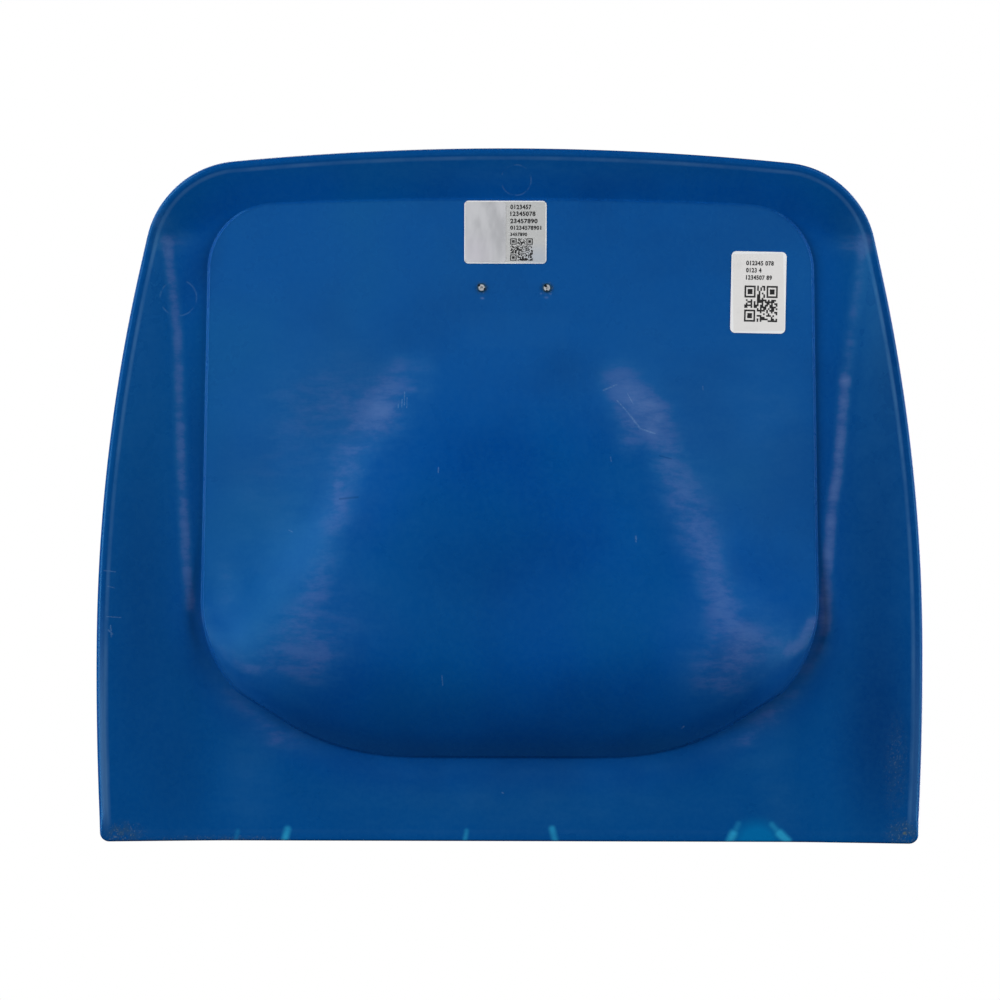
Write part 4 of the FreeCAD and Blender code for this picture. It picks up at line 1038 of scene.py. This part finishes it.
metalFinish = {name: metalMaterial(name, **look) for name, look in metals.items()}
zinc = metalFinish["zinc_plate"]
finishes = {
    "certificate_label": filmMaterial("certificate_film", stickers["certificate"], paper["grey"]),
    "foil_patch": foilMaterial(),
    "seat_number_label": filmMaterial("seat_film", stickers["seat"], paper["warm"]),
    "left_bracket": zinc, "right_bracket": zinc, "centre_bracket": zinc,
    "flat_washers": zinc, "weld_nuts": zinc,
    "threaded_inserts": metalFinish["insert_brass"], "bracket_screws": metalFinish["screw_steel"],
    "lock_washers": metalFinish["spring_steel"],
    "plate_rivets": rivetMaterial("rivet_aluminium", **rivets["aluminium"]),
    "rivet_mandrels": rivetMaterial("mandrel_steel", **rivets["steel"]),
}
for name, material in finishes.items():
    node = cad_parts[name]
    for slot in node.material_slots:
        slot.material = material
print("finishes given to", len(finishes), "nodes")


# Print on the stickers: plain digits and blocks, laid on the film, in millimetres from its middle.
printing = {
    "lift": 0.04, "film": 0.27, "bolder": 0.035, "spacing": 1.12, "filledShare": 0.5, "cornerCells": 7,
    "certificateRows": [  # digits, left, middle height, width, height
        ("0123457", 2.6, 13.45, 11.3, 2.5), ("12345078", 2.6, 9.85, 13.4, 2.5),
        ("23457890", 2.6, 5.95, 14.5, 2.5), ("01234578901", 2.6, 2.35, 16.5, 2.3),
        ("3457890", 2.6, -1.15, 9.0, 1.9)],
    "certificateCode": {"cells": 25, "seed": 3, "left": 2.6, "bottom": -15.2, "width": 12.0, "tall": 11.9},
    "seatRows": [
        ("012345 078", -6.8, 15.6, 14.7, 2.5), ("0123 4", -6.8, 11.8, 8.2, 2.5),
        ("1234507 89", -6.8, 7.9, 13.8, 2.5)],
    "seatCode": {"cells": 21, "seed": 5, "left": -7.4, "bottom": -15.7, "width": 17.7, "tall": 19.3},
}


def layOnPanel(name, flatPoints, faces, sticker, height):
    # A flat print on the curved panel, its points given from the sticker's middle.
    flat = np.asarray(flatPoints, float)
    turn = math.radians(sticker["turn"])
    x = sticker["x"] + flat[:, 0] * math.cos(turn) + flat[:, 1] * math.sin(turn)
    z = sticker["z"] - flat[:, 0] * math.sin(turn) + flat[:, 1] * math.cos(turn)
    y = -panelDepth(x, z) - height
    piece = addPiece(name, np.stack([x, y, z], -1), faces, smooth=False)
    piece.data.materials.append(ink)
    return piece


def digitRow(text, left, middle, width, tall):
    # The outline mesh of a row of digits, stretched to its width and height.
    curve = bpy.data.curves.new("digits", "FONT")
    curve.body = text
    curve.offset = printing["bolder"]
    curve.space_character = printing["spacing"]
    letters = bpy.data.objects.new("digits", curve)
    bpy.context.scene.collection.objects.link(letters)
    bpy.context.view_layer.update()
    mesh = bpy.data.meshes.new_from_object(letters)
    points = np.empty(len(mesh.vertices) * 3)
    mesh.vertices.foreach_get("co", points)
    points = points.reshape(-1, 3)[:, :2]
    low, high = points.min(0), points.max(0)
    points = (points - low) / (high - low) * [width, tall] + [left, middle - tall / 2]
    faces = [list(polygon.vertices) for polygon in mesh.polygons]
    bpy.data.objects.remove(letters)
    return points, faces


def blockCode(cells, seed, left, bottom, width, tall):
    # A field of random cells with a nested square in three corners.
    filled = np.random.default_rng(seed).random((cells, cells)) < printing["filledShare"]
    size = printing["cornerCells"]
    fromMiddle = np.maximum(*np.abs(np.mgrid[0:size, 0:size] - size // 2))
    nested = fromMiddle != size // 2 - 1
    far = cells - size - 1
    for row, column in ((0, 0), (0, far), (far, 0)):
        filled[row:row + size + 1, column:column + size + 1] = False
        startRow, startColumn = row + (row > 0), column + (column > 0)
        filled[startRow:startRow + size, startColumn:startColumn + size] = nested
    rows, columns = np.nonzero(filled)
    corner = np.stack([columns, cells - 1 - rows], -1).astype(float)
    square = np.array([[0, 0], [1, 0], [1, 1], [0, 1]])
    points = (corner[:, None] + square).reshape(-1, 2) * [width / cells, tall / cells] + [left, bottom]
    return points, np.arange(len(points)).reshape(-1, 4).tolist()


def joined(parts):
    # Several flat prints as one: points and faces, the faces' numbers moved on.
    points, faces, count = [], [], 0
    for partPoints, partFaces in parts:
        points.append(partPoints)
        faces += [[index + count for index in face] for face in partFaces]
        count += len(partPoints)
    return np.concatenate(points), faces


ink = inkMaterial()
height = printing["film"] + printing["lift"]
for sticker, slot in (("certificate", "label_film"), ("seat", "seat_label_film")):
    parts = [digitRow(*row) for row in printing[sticker + "Rows"]]
    parts.append(blockCode(**printing[sticker + "Code"]))
    printed = layOnPanel(sticker + "_print", *joined(parts), stickers[sticker], height)
print("print laid on both stickers")


# The photograph's frame: a pixel's size in millimetres, and the object's place in it.
photo = {
    "size": 1000, "pixel": 0.5333, "centreX": 510.1, "footY": 842.0, "distance": 4000.0, "roll": -0.165,
    "facing": 25.0,  # how far in front of the origin a pixel has that size, in millimetres
    "sensor": 36.0,
}


def photoPoint(column, row):
    # Where a pixel lies on the shell's front, in millimetres.
    x = (column - photo["centreX"]) * photo["pixel"]
    return x, shell["footZ"] + (photo["footY"] - row) * photo["pixel"]


def addCamera():
    x, z = photoPoint(photo["size"] / 2, photo["size"] / 2)
    seenWidth = photo["size"] * photo["pixel"]
    data = bpy.data.cameras.new("camera")
    data.sensor_width = photo["sensor"]
    data.lens = photo["sensor"] * (photo["distance"] - photo["facing"]) / seenWidth
    camera = bpy.data.objects.new("camera", data)
    camera.location = (x * mm, -photo["distance"] * mm, z * mm)
    camera.rotation_euler = (math.pi / 2, math.radians(photo["roll"]), 0)
    bpy.context.scene.collection.objects.link(camera)
    bpy.context.scene.camera = camera


# The floor is well below the part, which is shown as it hangs on its brackets. In metres.
floor = {
    "height": -0.9, "radius": 2.6, "around": 64, "pale": (0.84, 0.84, 0.83), "paler": (0.88, 0.88, 0.88),
    "clouds": {"size": 400.0, "detail": 4, "seed": 31}, "cloudEdges": (0.35, 0.65), "roughness": 0.9,
}


def floorMaterial():
    material, tree, shader = newMaterial("pale_floor")
    clouds = ramp(tree, noise(tree, millimetres(tree), **floor["clouds"]), *floor["cloudEdges"])
    feed(tree, shader.inputs["Base Color"], mixColour(tree, clouds, floor["pale"], floor["paler"]))
    feed(tree, shader.inputs["Roughness"], floor["roughness"])
    return material


def addStage():
    # A round floor: a fan of triangles about its middle.
    around = floor["around"]
    turn = np.linspace(0, 2 * math.pi, around, endpoint=False)
    reach = np.append(np.full(around, floor["radius"]), 0.0)
    turn = np.append(turn, 0.0)
    height = np.full(around + 1, floor["height"])
    points = np.stack([reach * np.cos(turn), reach * np.sin(turn), height], -1)
    edge = np.arange(around)
    faces = np.stack([edge, np.roll(edge, -1), np.full(around, around)], -1).tolist()
    mesh = bpy.data.meshes.new("stage")
    mesh.from_pydata(points, [], faces)
    mesh.materials.append(floorMaterial())
    stage = bpy.data.objects.new("stage", mesh)
    bpy.context.scene.collection.objects.link(stage)
    stage.visible_diffuse = False  # the photograph has no light from below
    stage.visible_glossy = False


# The soft lights stand round the aim at one distance, in metres and degrees.
studio = {
    "distance": 2.0, "aim": (0.0, -0.025, 0.08), "ambient": 0.02, "background": 1.0,
    "lights": [  # name, azimuth, elevation, width, height, strength
        ("left_low", -68, -5, 1.1, 1.0, 4.3),
        ("left_middle", -61, 7, 1.0, 1.0, 4.2),
        ("left_high", -63, 36, 1.2, 1.0, 6.3),
        ("right_low", 68, -5, 1.1, 1.0, 5.8),
        ("right_middle", 70, 23, 1.0, 1.0, 4.7),
        ("right_high", 68, 56, 1.0, 1.0, 2.6),
        ("front", 6, 6, 2.9, 0.5, 0.85),
        ("behind_left", -150, 30, 1.5, 1.5, 7.0),
        ("behind_right", 140, 12, 1.5, 1.5, 9.0),
    ],
}


def addLight(name, azimuth, elevation, width, height, strength):
    # An area light on a sphere round the aim, azimuth turned from the camera's side to +x.
    turn, rise = math.radians(azimuth), math.radians(elevation)
    way = Vector((math.sin(turn) * math.cos(rise), -math.cos(turn) * math.cos(rise), math.sin(rise)))
    data = bpy.data.lights.new(name, "AREA")
    data.shape = "RECTANGLE"
    data.size = width
    data.size_y = height
    data.energy = strength * math.pi
    light = bpy.data.objects.new(name, data)
    light.location = Vector(studio["aim"]) + way * studio["distance"]
    light.rotation_euler = (-way).to_track_quat("-Z", "Y").to_euler()
    bpy.context.scene.collection.objects.link(light)


def addWorld():
    # White for the camera, and a dim even light for everything else.
    world = bpy.data.worlds.new("studio")
    bpy.context.scene.world = world
    world.use_nodes = True
    tree = world.node_tree
    seen = addNode(tree, "LightPath", out=0)
    inputs = tree.nodes["Background"].inputs
    feed(tree, inputs["Color"], (1, 1, 1))
    feed(tree, inputs["Strength"], ramp(tree, seen, 0.0, 1.0, studio["ambient"], studio["background"]))


addCamera()
addStage()
addWorld()
for light in studio["lights"]:
    addLight(*light)
bpy.context.scene.view_settings.view_transform = "Standard"
print("stage, lights and camera set")
